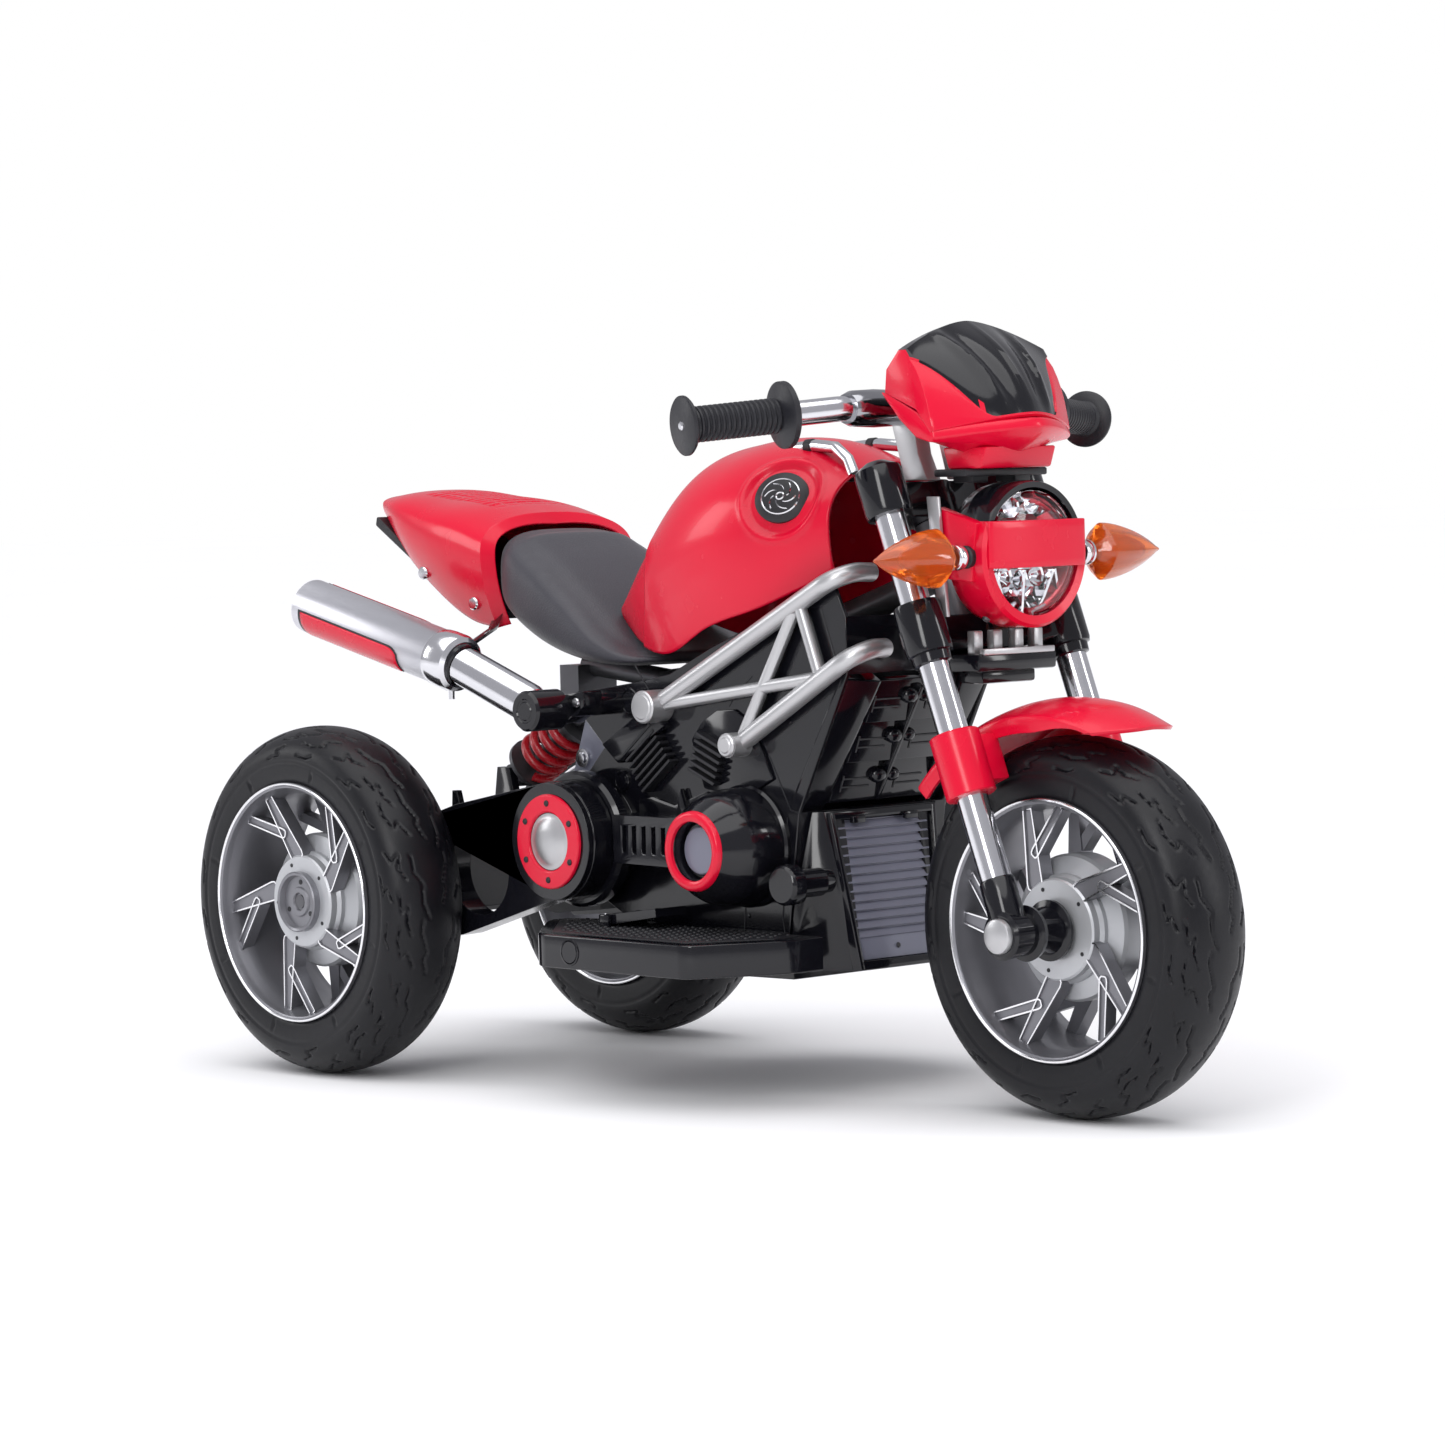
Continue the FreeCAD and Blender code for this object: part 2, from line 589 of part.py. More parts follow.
# ---------------------------------------------------------------- main frame and body
def frame_nodes():
    middle = (D["lower_clamp_height"] + D["upper_clamp_height"] + D["clamp_depth"]) / 2
    head_x, head_z = fork_point(-D["clamp_offset"], middle)
    low = D["lower_clamp_height"] + D["clamp_depth"] + D["play"]
    high = D["upper_clamp_height"] - D["play"]
    head = on_fork_at(cylinder("head_tube", D["stem_radius"] + D["head_wall"], high - low),
                      -D["clamp_offset"], 0, low)
    stem_hole = on_fork_at(cylinder("head_bore", D["stem_radius"] + D["running_gap"], high + 40),
                           -D["clamp_offset"], 0, low - 20)
    seat_x, seat_z = PIVOT_X + 71, PIVOT_Z + 136
    tail_x, tail_z = PIVOT_X - 107, PIVOT_Z + 140
    shock_x, shock_z = PIVOT_X - 107, PIVOT_Z + 98
    spine = rod("spine", D["spine_radius"], (seat_x, 0, seat_z), (head_x, 0, head_z))
    pieces = [
        head, spine,
        rod("seat_rail", D["rail_radius"], (seat_x, 0, seat_z), (PIVOT_X, 0, PIVOT_Z + 128)),
        rod("tail_rail", D["rail_radius"], (PIVOT_X, 0, PIVOT_Z + 128), (tail_x, 0, tail_z)),
        rod("down_tube", D["rail_radius"], (seat_x, 0, seat_z), (PIVOT_X, 0, PIVOT_Z)),
        cross_rod("pivot_tube", D["pivot_radius"] + D["pivot_tube_wall"], PIVOT_X, PIVOT_Z, -79, 79),
        rod("cradle", D["rail_radius"], (PIVOT_X, 0, PIVOT_Z), (PIVOT_X + 111, 0, 124)),
        cross_rod("board_bar", D["rail_radius"], PIVOT_X + 111, 124, -79, 79),
        block("shock_bridge", (shock_x - 12, -22, shock_z + 16), (shock_x + 12, 22, tail_z)),
        cross_rod("shock_bolt_upper", D["shock_pin"], shock_x, shock_z, -22, 22),
    ]
    for side in (-1, 1):
        pieces.append(plate("shock_ear", [(shock_x - 8, shock_z - 6), (shock_x + 8, shock_z - 6),
                                          (shock_x + 12, shock_z + 20), (shock_x - 12, shock_z + 20)],
                            18 * side - 4, 18 * side + 4))
    pivot_hole = cross_rod("pivot_bore", D["pivot_radius"], PIVOT_X, PIVOT_Z, -90, 90)
    holes = fuse("backbone_holes", stem_hole, pivot_hole)
    backbone = cut("backbone_frame", fuse("backbone_solid", *pieces), holes)
    boss_end = D["arm_inner"] + D["arm_thickness"]
    axle = cross_rod("pivot_axle", D["pivot_radius"], PIVOT_X, PIVOT_Z, -boss_end, boss_end)
    battery = block("battery", (PIVOT_X + 76, -35, 170), (PIVOT_X + 166, 35, 250))
    return [backbone, axle, battery]


def body_outline():
    """Side view of the engine shell: round lug at the pivot, then over the top and down the front."""
    lug = [(PIVOT_X + dx, PIVOT_Z + dz) for dx, dz in arc_points(0, 0, 48, 262, 130, 8)]
    top = from_pivot([(8, PIVOT_Z + 76), (-39, PIVOT_Z + 119), (51, PIVOT_Z + 131), (91, PIVOT_Z + 138),
                      (141, PIVOT_Z + 160)])
    front = from_head([(-47, 421), (-33, 394), (-33, 348), (-92, 236), (-107, 136), (-102, 101), (-170, 100),
                       (-243, 112)])
    return lug + top + front


OPENINGS = ((10, 15), (16, 17))          # corners: under the seat and tank, and behind the louvres


def moved_edges(outline, distances):
    """The outline with each edge shifted inwards by its own distance, outwards where that is negative."""
    corners = [(value(x), value(z)) for x, z in outline]
    count = len(corners)
    turn = sum(corners[i - 1][0] * corners[i][1] - corners[i][0] * corners[i - 1][1] for i in range(count))
    side = 1 if turn > 0 else -1
    lines = []
    for index, (x, z) in enumerate(corners):
        next_x, next_z = corners[(index + 1) % count]
        long = math.hypot(next_x - x, next_z - z)
        normal = (-(next_z - z) / long * side, (next_x - x) / long * side)
        lines.append((normal, normal[0] * x + normal[1] * z + distances[index]))
    points = []
    for index, (x, z) in enumerate(outline):
        (a, b), first = lines[index - 1]
        (c, d), second = lines[index]
        spread = a * d - b * c
        new_x, new_z = (first * d - b * second) / spread, (a * second - first * c) / spread
        points.append((x + (new_x - corners[index][0]), z + (new_z - corners[index][1])))
    return points


def shell_nodes():
    """Two moulded halves that meet at the middle plane, open on top and at the front."""
    outline = body_outline()
    wall, half = D["shell_wall"], SIDE
    count = len(outline)
    wider, narrower = moved_edges(outline, [-30] * count), moved_edges(outline, [8] * count)
    hollows = [plate("shell_hollow", moved_edges(outline, [value(wall)] * count), -half + wall, 1)]
    for first, last in OPENINGS:
        rim = wider[first:last + 1] + narrower[first:last + 1][::-1]
        hollows.append(plate("shell_opening", rim, -half + wall, 1))
    moulding = cut("shell_moulding", plate("shell_block", outline, -half, 0), fuse("shell_hollows", *hollows))
    lug = cross_rod("pivot_lug", 46, PIVOT_X, PIVOT_Z, -D["arm_inner"] + 1, -half)
    tube_hole = D["pivot_radius"] + D["pivot_tube_wall"] + 1
    hole = cross_rod("shell_pivot_hole", tube_hole, PIVOT_X, PIVOT_Z, -79.5, 0)
    axle_hole = cross_rod("shell_axle_hole", D["pivot_radius"], PIVOT_X, PIVOT_Z, -150, 0)
    rear_gap = block("shell_rear_gap", (PIVOT_X - 90, -24, PIVOT_Z + 70), (PIVOT_X + 30, 24, PIVOT_Z + 160))
    holes = fuse("shell_holes", hole, axle_hole, rear_gap)
    whole = cut("body_shell_right", fuse("shell_with_lug", moulding, lug), holes)
    return [whole, mirrored("body_shell_left", whole)]


def front_nodes():
    """Louvred panel, radiator box and its slatted grille."""
    inner = SIDE - D["shell_wall"] - 0.3
    slope = from_head([(-43, 341), (-36, 341), (-94, 243), (-101, 243)])
    louvre = plate("louvre_panel", slope, -inner, inner)
    box_low, box_high = 107, 236
    lean = -20
    face = HEAD_X - 64
    profile = plate("radiator_profile", [(HEAD_X - 101, box_low), (face, box_low), (face + lean, box_high),
                                         (HEAD_X - 91, box_high), (HEAD_X - 106, 136)], -84, 84)
    plan = slab("radiator_plan", [(HEAD_X - 110, -82), (HEAD_X - 103, -82), (face + 1, -44), (face + 1, 44),
                                  (HEAD_X - 103, 82), (HEAD_X - 110, 82)], box_low, box_high)
    recess = plate("radiator_recess", [
        (face - 4.3, box_low + 7), (face + 20, box_low + 7),
        (face + lean + 20, box_high - 7), (face + lean - 4.3, box_high - 7)], -42, 42)
    peg = fuse("crash_pegs_right", cross_rod("peg_neck", 9, HEAD_X - 84, 180, -100, -60),
               cross_rod("peg_head", 14, HEAD_X - 84, 180, -112, -99))
    box = cut("radiator_box", common("radiator_outer", profile, plan), recess)
    housing = fuse("radiator_housing", box, peg, mirrored("crash_pegs_left", peg))
    slat_low, slat_high, slats = box_low + 8, box_high - 8, 13
    backing = plate("grille_back", [(face - 4.2, slat_low), (face - 1.5, slat_low),
                                    (face + lean - 0.3, slat_high), (face + lean - 3, slat_high)], -41, 41)
    pitch = (slat_high - slat_low) / slats
    ribs = []
    for index in range(slats):
        z = slat_low + pitch * (index + 0.5)
        shift = lean * (z - box_low) / (box_high - box_low)
        ribs.append(plate("grille_slat", [(face + shift - 2.5, z - 3), (face + shift + 0.5, z - 3),
                                          (face + shift - 0.5, z + 3), (face + shift - 3, z + 3)], -41, 41))
    grille = fuse("radiator_grille", backing, *ribs)
    return [louvre, housing, grille]


def tank_nodes():
    """Tank cover, open below, with a round badge let into each shoulder."""
    def section(low, side_low, half, high):
        return [(-half * 0.5, low), (-half * 0.95, side_low), (-half, (low + high) / 2),
                (-half * 0.72, high - 20), (-half * 0.3, high), (half * 0.3, high), (half * 0.72, high - 20),
                (half, (low + high) / 2), (half * 0.95, side_low), (half * 0.5, low)]

    def inner(low, side_low, half, high):
        return section(low - 30, side_low - 30, half - 5, high - 5)

    stations = [(PIVOT_X - 14, (386, 384, 44, 408)), (PIVOT_X + 31, (376, 366, 68, 464)),
                (PIVOT_X + 86, (372, 362, 86, 520)), (PIVOT_X + 141, (388, 384, 94, 534)),
                (HEAD_X - 127, (405, 402, 91, 535)), (HEAD_X - 63, (432, 428, 72, 516))]
    tank = loft("tank_shell", [(x, section(*shape)) for x, shape in stations],
                [(x, inner(*shape)) for x, shape in stations])
    badge = cylinder("badge", 22, 3)
    put(badge, HEAD_X - 92, -83, 488, yaw=-70, pitch=72)
    return [tank, both_sides("tank_medallions", badge)]


def seat_nodes():
    def pad_section(low, half, high):
        rise = high - low
        return [(-half * 0.6, low), (-half, low + rise * 0.15), (-half * 0.96, low + rise * 0.7),
                (-half * 0.6, low + rise * 0.96), (0, high), (half * 0.6, low + rise * 0.96),
                (half * 0.96, low + rise * 0.7), (half, low + rise * 0.15), (half * 0.6, low)]

    pad_stations = [(PIVOT_X - 132, (388, 62, 458)), (PIVOT_X - 90, (362, 80, 440)),
                    (PIVOT_X - 40, (350, 87, 412)), (PIVOT_X - 20, (349, 87, 402)),
                    (PIVOT_X - 16, (349, 86.5, 382)), (PIVOT_X + 30, (350, 83, 360)),
                    (PIVOT_X + 56, (352, 72, 359))]
    seat = loft("seat_pad", [(x, pad_section(*shape)) for x, shape in pad_stations], ruled=True)

    def tail_section(low, half, high):
        rise = high - low
        return [(-half * 0.5, low), (-half * 0.9, low + rise * 0.15), (-half, low + rise * 0.7),
                (-half * 0.7, low + rise * 0.95), (0, high), (half * 0.7, low + rise * 0.95),
                (half, low + rise * 0.7), (half * 0.9, low + rise * 0.15), (half * 0.5, low)]

    tail_stations = [(PIVOT_X - 322, (474, 52, 498)), (PIVOT_X - 290, (452, 66, 500)),
                     (PIVOT_X - 230, (412, 80, 494)), (PIVOT_X - 170, (384, 86, 488)),
                     (PIVOT_X - 134, (380, 88, 476))]
    shifts = (5, 0, 0, 0, 1)
    tail = loft("tail_cowl", [(x, tail_section(*shape)) for x, shape in tail_stations],
                [(x + shift, tail_section(low + 4, half - 4, high - 4))
                 for (x, (low, half, high)), shift in zip(tail_stations, shifts)], ruled=True)
    light = block("tail_light", (PIVOT_X - 328, -40, 477), (PIVOT_X - 322, 40, 490))
    return [seat, tail, light]


def trellis_node():
    """Right-hand tubes: top rail, lower rail, cross brace and two diagonals, ending in two bosses."""
    y = -SIDE - D["trellis_gap"] - D["trellis_radius"]
    rear, lower = (PIVOT_X + 83, 319), (PIVOT_X + 183, 290)
    top_end, low_end = HEAD_X - 28, HEAD_X - 8
    main, thin = D["trellis_radius"], D["brace_radius"]
    upper_tube = bent_tube([(rear[0], y, rear[1]), (top_end, y, 430), (top_end - 8, y + 40, 428)], main, 22)
    lower_tube = bent_tube([(lower[0], y, lower[1]), (low_end - 2, y, 369), (low_end - 14, y + 40, 368)],
                           main, 22)

    def straight(start, end):
        start, end = (vector(value(x), value(y), z) for x, z in (start, end))
        return Part.makeCylinder(value(thin), (end - start).Length, start, end - start)

    cross = straight(rear, (PIVOT_X + 258, 343))
    back_diagonal = straight((PIVOT_X + 252, 400), lower)
    front_diagonal = straight((PIVOT_X + 258, 401), (PIVOT_X + 278, 349))
    bosses = [Part.makeCylinder(radius, 22, vector(value(x), value(-SIDE), z), vector(0, -1, 0))
              for (x, z), radius in ((rear, value(D["trellis_boss"])), (lower, 10))]
    right = upper_tube.multiFuse([lower_tube, cross, back_diagonal, front_diagonal] + bosses).removeSplitter()
    return both_sides("trellis_tubes", feature("trellis_right", right))


def engine_nodes():
    """Round covers with their rings, the finned cylinders and the belt guards, one of each per side."""
    x, z = PIVOT_X + 183, PIVOT_Z
    radius, ring = D["cover_radius"], D["ring_width"]
    end = SIDE + D["cover_depth"]
    dome = put(turned("clutch_cover", [
        (0, SIDE), (radius, SIDE), (radius, end - 34), (radius * 0.93, end - 18), (radius * 0.68, end - 4),
        (radius * 0.66, end), (radius * 0.5, end), (radius * 0.42, end - 10), (0, end - 10)]), x, 0, z)
    covers = group("clutch_covers", mirrored("clutch_cover_right", dome), dome)
    bore = radius * 0.5
    ring_piece = put(turned("cover_ring", [(bore, end), (bore + ring, end), (bore + ring - 1, end + 3),
                                           (bore + 1, end + 3)]), x, 0, z)
    disc = put(turned("cover_disc", [(0, end - 10), (radius * 0.42, end - 10), (radius * 0.4, end - 6),
                                     (0, end - 5)]), x, 0, z)
    fins = []
    height = D["fin_height"]
    for centre_x, centre_z, lean, count, long in (
            (PIVOT_X + 72, 275, 38, 7, 44), (PIVOT_X + 143, 276, -22, 6, 34)):
        turn = math.radians(lean)
        for index in range(count):
            step = (index - (count - 1) / 2) * 6.2
            x0 = centre_x - step * math.sin(turn) - long / 2 * math.cos(turn)
            z0 = centre_z + step * math.cos(turn) - long / 2 * math.sin(turn)
            fin = block("fin", (0, 0, 0), (long, height, 2.6))
            fins.append(put(fin, x0, -SIDE - height, z0, pitch=-lean))
    guard_x = PIVOT_X + 53
    outline = [(guard_x, 190), (guard_x + 81, 188), (guard_x + 81, 230), (guard_x, 230)]
    guard = plate("belt_guard_block", outline, -118, -SIDE)
    first_slot, slot_pitch = guard_x + 12, 12
    slots = []
    for index in range(5):
        slot_x = first_slot + slot_pitch * index
        slots.append(block("guard_slot", (slot_x, -119, 199), (slot_x + 5, -111, 221)))
    guard = cut("belt_guard", guard, fuse("guard_slots", *slots))
    return [covers, both_sides("cover_rings", ring_piece), both_sides("cover_discs", disc),
            both_sides("cylinder_fins", group("fins_right", *fins)), both_sides("belt_guards", guard)]


def board_nodes():
    """Footrests each side, and the accelerator pedal on the right one."""
    low, high, outer = D["board_height"], D["board_height"] + D["board_thickness"], D["board_half_width"]
    inner_edge = -SIDE - 0.2
    outline = [(PIVOT_X - 36, -100), (PIVOT_X - 30, -120), (PIVOT_X + 51, -outer), (PIVOT_X + 231, -outer),
               (HEAD_X - 65, -118), (HEAD_X - 65, -86.5), (HEAD_X - 108, -86.5), (HEAD_X - 108, inner_edge),
               (PIVOT_X - 8, inner_edge)]
    board = slab("footrest", outline, low, high)
    hinge_x, hinge_z = PIVOT_X + 61, high + 6
    y = -SIDE - 14 - D["pedal_width"]
    ears = []
    for side_y in (y - 5, y + D["pedal_width"] + 1):
        ears.append(block("pedal_ear", (hinge_x - 6, side_y, high - 1), (hinge_x + 6, side_y + 4, high + 11)))
    pin = cross_rod("pedal_pin", 2.5, hinge_x, hinge_z, y - 4, y + D["pedal_width"] + 4)
    right = fuse("footrest_right", board, *ears, pin)
    boards = group("footrests", right, mirrored("footrest_left", board))
    length, thick = D["pedal_length"], D["pedal_thickness"]
    plate_piece = plate("pedal_plate", [(0, -4), (length, -3), (length, thick - 4), (0, 4.5)],
                        0, D["pedal_width"])
    barrel = cross_rod("pedal_barrel", 5, 0, 0, 0, D["pedal_width"])
    bore = cross_rod("pedal_bore", 2.5 + D["running_gap"], 0, 0, -1, D["pedal_width"] + 1)
    pedal = cut("accelerator_pedal", fuse("pedal_solid", plate_piece, barrel), bore)
    put(pedal, hinge_x, y, hinge_z, pitch=-D["pedal_lift"])
    return [boards, pedal]


def exhaust_nodes():
    """Twin mufflers, their coloured side panels, pipes and black brackets."""
    y = D["muffler_half_gap"]
    radius, length = D["muffler_radius"], D["muffler_length"]
    tail, head = (REAR_X - 50, 402), (REAR_X + 153, 353)
    slope = bearing(head[1] - tail[1], head[0] - tail[0])
    wall = D["muffler_wall"]
    nodes = []
    collar = radius + 1.5
    can = turned("muffler_can", [
        (radius - wall, 0), (radius, 0), (radius, length - 26), (collar, length - 24), (collar, length - 8),
        (radius - 3, length), (D["pipe_radius"], length), (D["pipe_radius"], length - 4),
        (radius - wall, length - 12)])
    muffler = both_sides("mufflers", put(can, tail[0], -y, tail[1], yaw=-90, roll=slope))
    panels = []
    proud = radius + D["panel_thickness"]
    for index, start in enumerate((60, 240)):
        panel = turned("muffler_panel", [(radius, 14), (proud, 14), (proud, length - 60),
                                         (radius, length - 60)], 70)
        holder = group(f"panel_{index}", panel)
        put(panel, 0, 0, 0, pitch=start)
        panels.append(put(holder, tail[0], -y, tail[1], yaw=-90, roll=slope))
    nodes += [muffler, both_sides("muffler_panels", group("muffler_panels_right", *panels))]
    joint = (PIVOT_X + 5, 317)
    pipe = rod("exhaust_pipe", D["pipe_radius"], (head[0], -y, head[1]), (joint[0], -y, joint[1]))
    socket = cross_rod("pipe_socket", 14, joint[0], joint[1], -y - D["pipe_radius"], -y + D["pipe_radius"])
    pipes = cut("exhaust_pipe_right", pipe, socket)
    nodes.append(both_sides("exhaust_pipes", pipes))
    knuckle = cross_rod("exhaust_knuckle", 14, joint[0], joint[1], -y - D["pipe_radius"],
                        -y + D["pipe_radius"])
    link = cross_rod("exhaust_link", 9, joint[0], joint[1], -y + 10, -SIDE)
    hanger = rod("exhaust_hanger", 6, (REAR_X + 128, -SIDE - 22, 362), (REAR_X + 110, -74, 372))
    bracket = group("exhaust_bracket_right", fuse("knuckle_right", knuckle, link), hanger)
    nodes.append(both_sides("exhaust_brackets", bracket))
    return nodes


# ---------------------------------------------------------------- rear suspension
def arm_outline():
    """Side view of one rear arm, drawn from the pivot boss to the axle."""
    boss = [(PIVOT_X + dx, PIVOT_Z + dz) for dx, dz in arc_points(0, 0, value(D["arm_boss"]), -96, 96, 12)]
    tail = [(REAR_X + 119, 233), (REAR_X + 60, 216), (REAR_X - 22, 186), (REAR_X - 34, 150),
            (REAR_X - 22, 120), (REAR_X + 60, 112), (REAR_X + 125, 122)]
    return boss + tail


def swingarm_nodes():
    inner, thick = D["arm_inner"], D["arm_thickness"]
    outer = inner + thick
    arm = plate("rear_arm", arm_outline(), -outer, -inner)
    boss = cross_rod("arm_boss", D["arm_boss"] - 1, PIVOT_X, PIVOT_Z, -outer - D["boss_proud"], -outer + 2)
    holes = [cross_rod("arm_pivot_hole", D["pivot_radius"] + D["running_gap"], PIVOT_X, PIVOT_Z,
                       -outer - 1.5, 0),
             cross_rod("arm_window", 38, REAR_X + 149, 178, -outer - 10, -inner + 10),
             cross_rod("arm_axle_hole", D["axle_radius"], REAR_X, AXLE_Z, -outer - 10, 0)]
    arm_right = cut("rear_arm_right", fuse("rear_arm_solid", arm, boss), fuse("rear_arm_holes", *holes))
    face = outer + D["boss_proud"]
    ring = put(turned("arm_ring", [(24, face), (40, face), (39, face + 3), (25, face + 3)]),
               PIVOT_X, 0, PIVOT_Z)
    disc = put(turned("arm_disc", [(0, face), (23, face), (22, face + 2), (12, face + 5), (0, face + 6)]),
               PIVOT_X, 0, PIVOT_Z)
    nodes = [both_sides("swingarms", arm_right), both_sides("arm_rings", ring), both_sides("arm_discs", disc)]

    bolt_x, bolt_z = PIVOT_X - 199, PIVOT_Z + 41
    housing_outline = [(REAR_X - 30, 128), (REAR_X - 36, 170), (REAR_X - 10, 206), (REAR_X + 70, 214),
                       (REAR_X + 96, 196), (REAR_X + 88, 140), (REAR_X + 60, 118), (REAR_X - 10, 112)]
    shell = plate("axle_case", housing_outline, -inner, inner)
    axle_way = cross_rod("axle_case_bore", D["axle_radius"], REAR_X, AXLE_Z, -inner - 1, inner + 1)
    hollow = block("axle_case_hollow", (REAR_X - 30, -inner + 5, 100), (REAR_X + 82, inner - 5, 196))
    case = [cut("axle_case_shell", shell, fuse("axle_case_cuts", hollow, axle_way))]
    for side in (-1, 1):
        case.append(plate("shock_foot", [(bolt_x - 16, 205), (bolt_x + 20, 205), (bolt_x + 8, bolt_z + 8),
                                         (bolt_x - 8, bolt_z + 8)], 18 * side - 4, 18 * side + 4))
        case.append(plate("case_fin", [(REAR_X + 56, 208), (REAR_X + 74, 208), (REAR_X + 64, 240),
                                       (REAR_X + 58, 240)], 84 * side - 3, 84 * side + 3))
    case.append(cross_rod("shock_bolt_lower", D["shock_pin"], bolt_x, bolt_z, -22, 22))
    nodes.append(fuse("axle_housing", *case))

    unit = fuse("drive_unit_solid",
                plate("gearbox", [(REAR_X - 26, 124), (REAR_X - 26, 176), (REAR_X + 8, 190),
                                  (REAR_X + 70, 192), (REAR_X + 70, 124), (REAR_X + 8, 118)],
                      -inner + 8, -70),
                cross_rod("drive_motor", 18, REAR_X + 48, 160, -71, -20))
    unit = cut("drive_unit", unit, cross_rod("gearbox_bore", D["axle_radius"], REAR_X, AXLE_Z, -inner, 0))
    nodes.append(both_sides("drive_units", unit))
    end = D["rear_track"] / 2 + D["hub_half_length"] + 2
    nodes.append(cross_rod("rear_axle", D["axle_radius"], REAR_X, AXLE_Z, -end, end))
    return nodes


def shock_nodes():
    """Coil-over shock from the seat bridge down to the axle case."""
    top = (PIVOT_X - 107, PIVOT_Z + 98)
    bottom = (PIVOT_X - 199, PIVOT_Z + 41)
    run, drop = top[0] - bottom[0], top[1] - bottom[1]
    span = root(run * run + drop * drop)
    tilt = bearing(drop, run)
    pin, tube, seat = D["shock_pin"], D["shock_tube"], D["shock_radius"]

    def along(obj, distance):
        """Places a piece drawn along +Z on the shock's line, that far from the upper bolt."""
        return put(obj, top[0] - distance * run / span, 0, top[1] - distance * drop / span, pitch=-90 - tilt)

    gap = D["running_gap"]
    body_solid = fuse("shock_body_solid", cross_rod("upper_eye", 10, *top, -13, 13),
                      along(cylinder("shock_can", tube, 52), 8), along(cylinder("upper_seat", seat, 4), 12))
    body_cut = fuse("shock_body_cut", cross_rod("upper_eye_bore", pin + gap, *top, -14, 14),
                    along(cylinder("rod_bore", pin + gap, 60), 14))
    body = cut("shock_body", body_solid, body_cut)
    rod_solid = fuse("shock_rod_solid", along(cylinder("rod_bar", pin, span - 36), 30),
                     along(cylinder("lower_seat", seat, 4), 88), cross_rod("lower_eye", 10, *bottom, -13, 13))
    rod_piece = cut("shock_rod", rod_solid,
                    cross_rod("lower_eye_bore", pin + D["eye_clearance"], *bottom, -14, 14))
    wire, coil = value(D["spring_wire"]), value(seat) - value(D["spring_wire"]) - 1
    length = 88 - 16 - 2 * wire - 1
    helix = Part.makeHelix(length / 4.6, length, coil)
    section = Part.Wire(Part.makeCircle(wire, vector(coil, 0, 0), Y_AXIS))
    spring = feature("shock_spring", Part.Wire(helix.Edges).makePipeShell([section], True, True))
    along(spring, 16.5 + wire)
    return [body, rod_piece, spring]


nodes = (wheel_nodes() + fork_nodes() + [fender_node()] + lamp_nodes() + cowl_nodes() + bar_nodes()
         + frame_nodes() + shell_nodes() + front_nodes() + tank_nodes() + seat_nodes() + [trellis_node()]
         + engine_nodes() + board_nodes() + exhaust_nodes() + swingarm_nodes() + shock_nodes())
doc.recompute()

failed = [obj.Label for obj in doc.Objects if "Invalid" in obj.State or "Error" in obj.State]
if failed:
    raise RuntimeError(f"these did not rebuild: {failed}")
for node in nodes:
    if node.Shape.isNull() or not node.Shape.isValid():
        raise RuntimeError(f"{node.Label} has no valid shape")
os.makedirs("parts", exist_ok=True)
for node in nodes:
    node.Shape.exportStep(f"parts/{node.Label}.step")
print(len(nodes), "nodes written")
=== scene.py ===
"""Ride-on trike styled as a naked motorcycle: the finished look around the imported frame."""

import bmesh
import bpy
import json
import math
import numpy as np
import random
from mathutils import Matrix, Vector


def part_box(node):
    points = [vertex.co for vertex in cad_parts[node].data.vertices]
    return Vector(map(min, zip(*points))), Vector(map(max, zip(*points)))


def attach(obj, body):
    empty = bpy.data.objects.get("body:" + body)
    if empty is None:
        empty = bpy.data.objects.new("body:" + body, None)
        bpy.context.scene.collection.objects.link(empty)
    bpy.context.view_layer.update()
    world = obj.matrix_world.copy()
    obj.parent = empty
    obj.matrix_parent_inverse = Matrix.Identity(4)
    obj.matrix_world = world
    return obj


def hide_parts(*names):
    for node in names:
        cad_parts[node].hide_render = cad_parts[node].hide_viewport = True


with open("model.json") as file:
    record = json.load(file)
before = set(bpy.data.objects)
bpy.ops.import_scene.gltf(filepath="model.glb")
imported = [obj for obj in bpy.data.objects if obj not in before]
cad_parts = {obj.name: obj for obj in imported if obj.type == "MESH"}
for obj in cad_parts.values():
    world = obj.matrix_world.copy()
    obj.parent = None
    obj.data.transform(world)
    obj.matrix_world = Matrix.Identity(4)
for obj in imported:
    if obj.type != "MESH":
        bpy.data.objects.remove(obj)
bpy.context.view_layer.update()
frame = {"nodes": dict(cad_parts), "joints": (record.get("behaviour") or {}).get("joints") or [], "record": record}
MM = 1000.0                                   # shapes are drawn in millimetres and kept in metres


# ---------------------------------------------------------------- measures taken from the frame
def span(node):
    low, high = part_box(node)
    return low * MM, high * MM


def middle(node):
    low, high = span(node)
    return (low + high) / 2


joints = {joint["name"]: joint for joint in frame["joints"]}
fork_axis = Vector(joints["steering_head"]["axis"])
RAKE = math.atan2(-fork_axis.x, fork_axis.z)
FRONT, REAR = middle("front_tyre"), middle("rear_axle")
WHEEL_RADIUS = span("front_tyre")[1].z / 2
RIM_HALF = span("front_rim")[1].y
REAR_Y = middle("rear_tyre_left").y
PIVOT = middle("pivot_axle")
ON_FORK = Matrix.Translation(FRONT) @ Matrix.Rotation(-RAKE, 4, "Y")
LEG_RADIUS = 12.5
FORK_HALF = span("fork_tubes")[1].y - LEG_RADIUS
LAMP_RADIUS = span("headlight_case")[1].y
LAMP = Vector((span("headlight_case")[1].x, 0, span("headlight_case")[1].z - LAMP_RADIUS))
SHELL_HALF = 84.0
TO_Y = Matrix.Rotation(math.radians(-90), 4, "X")          # local Z becomes +Y


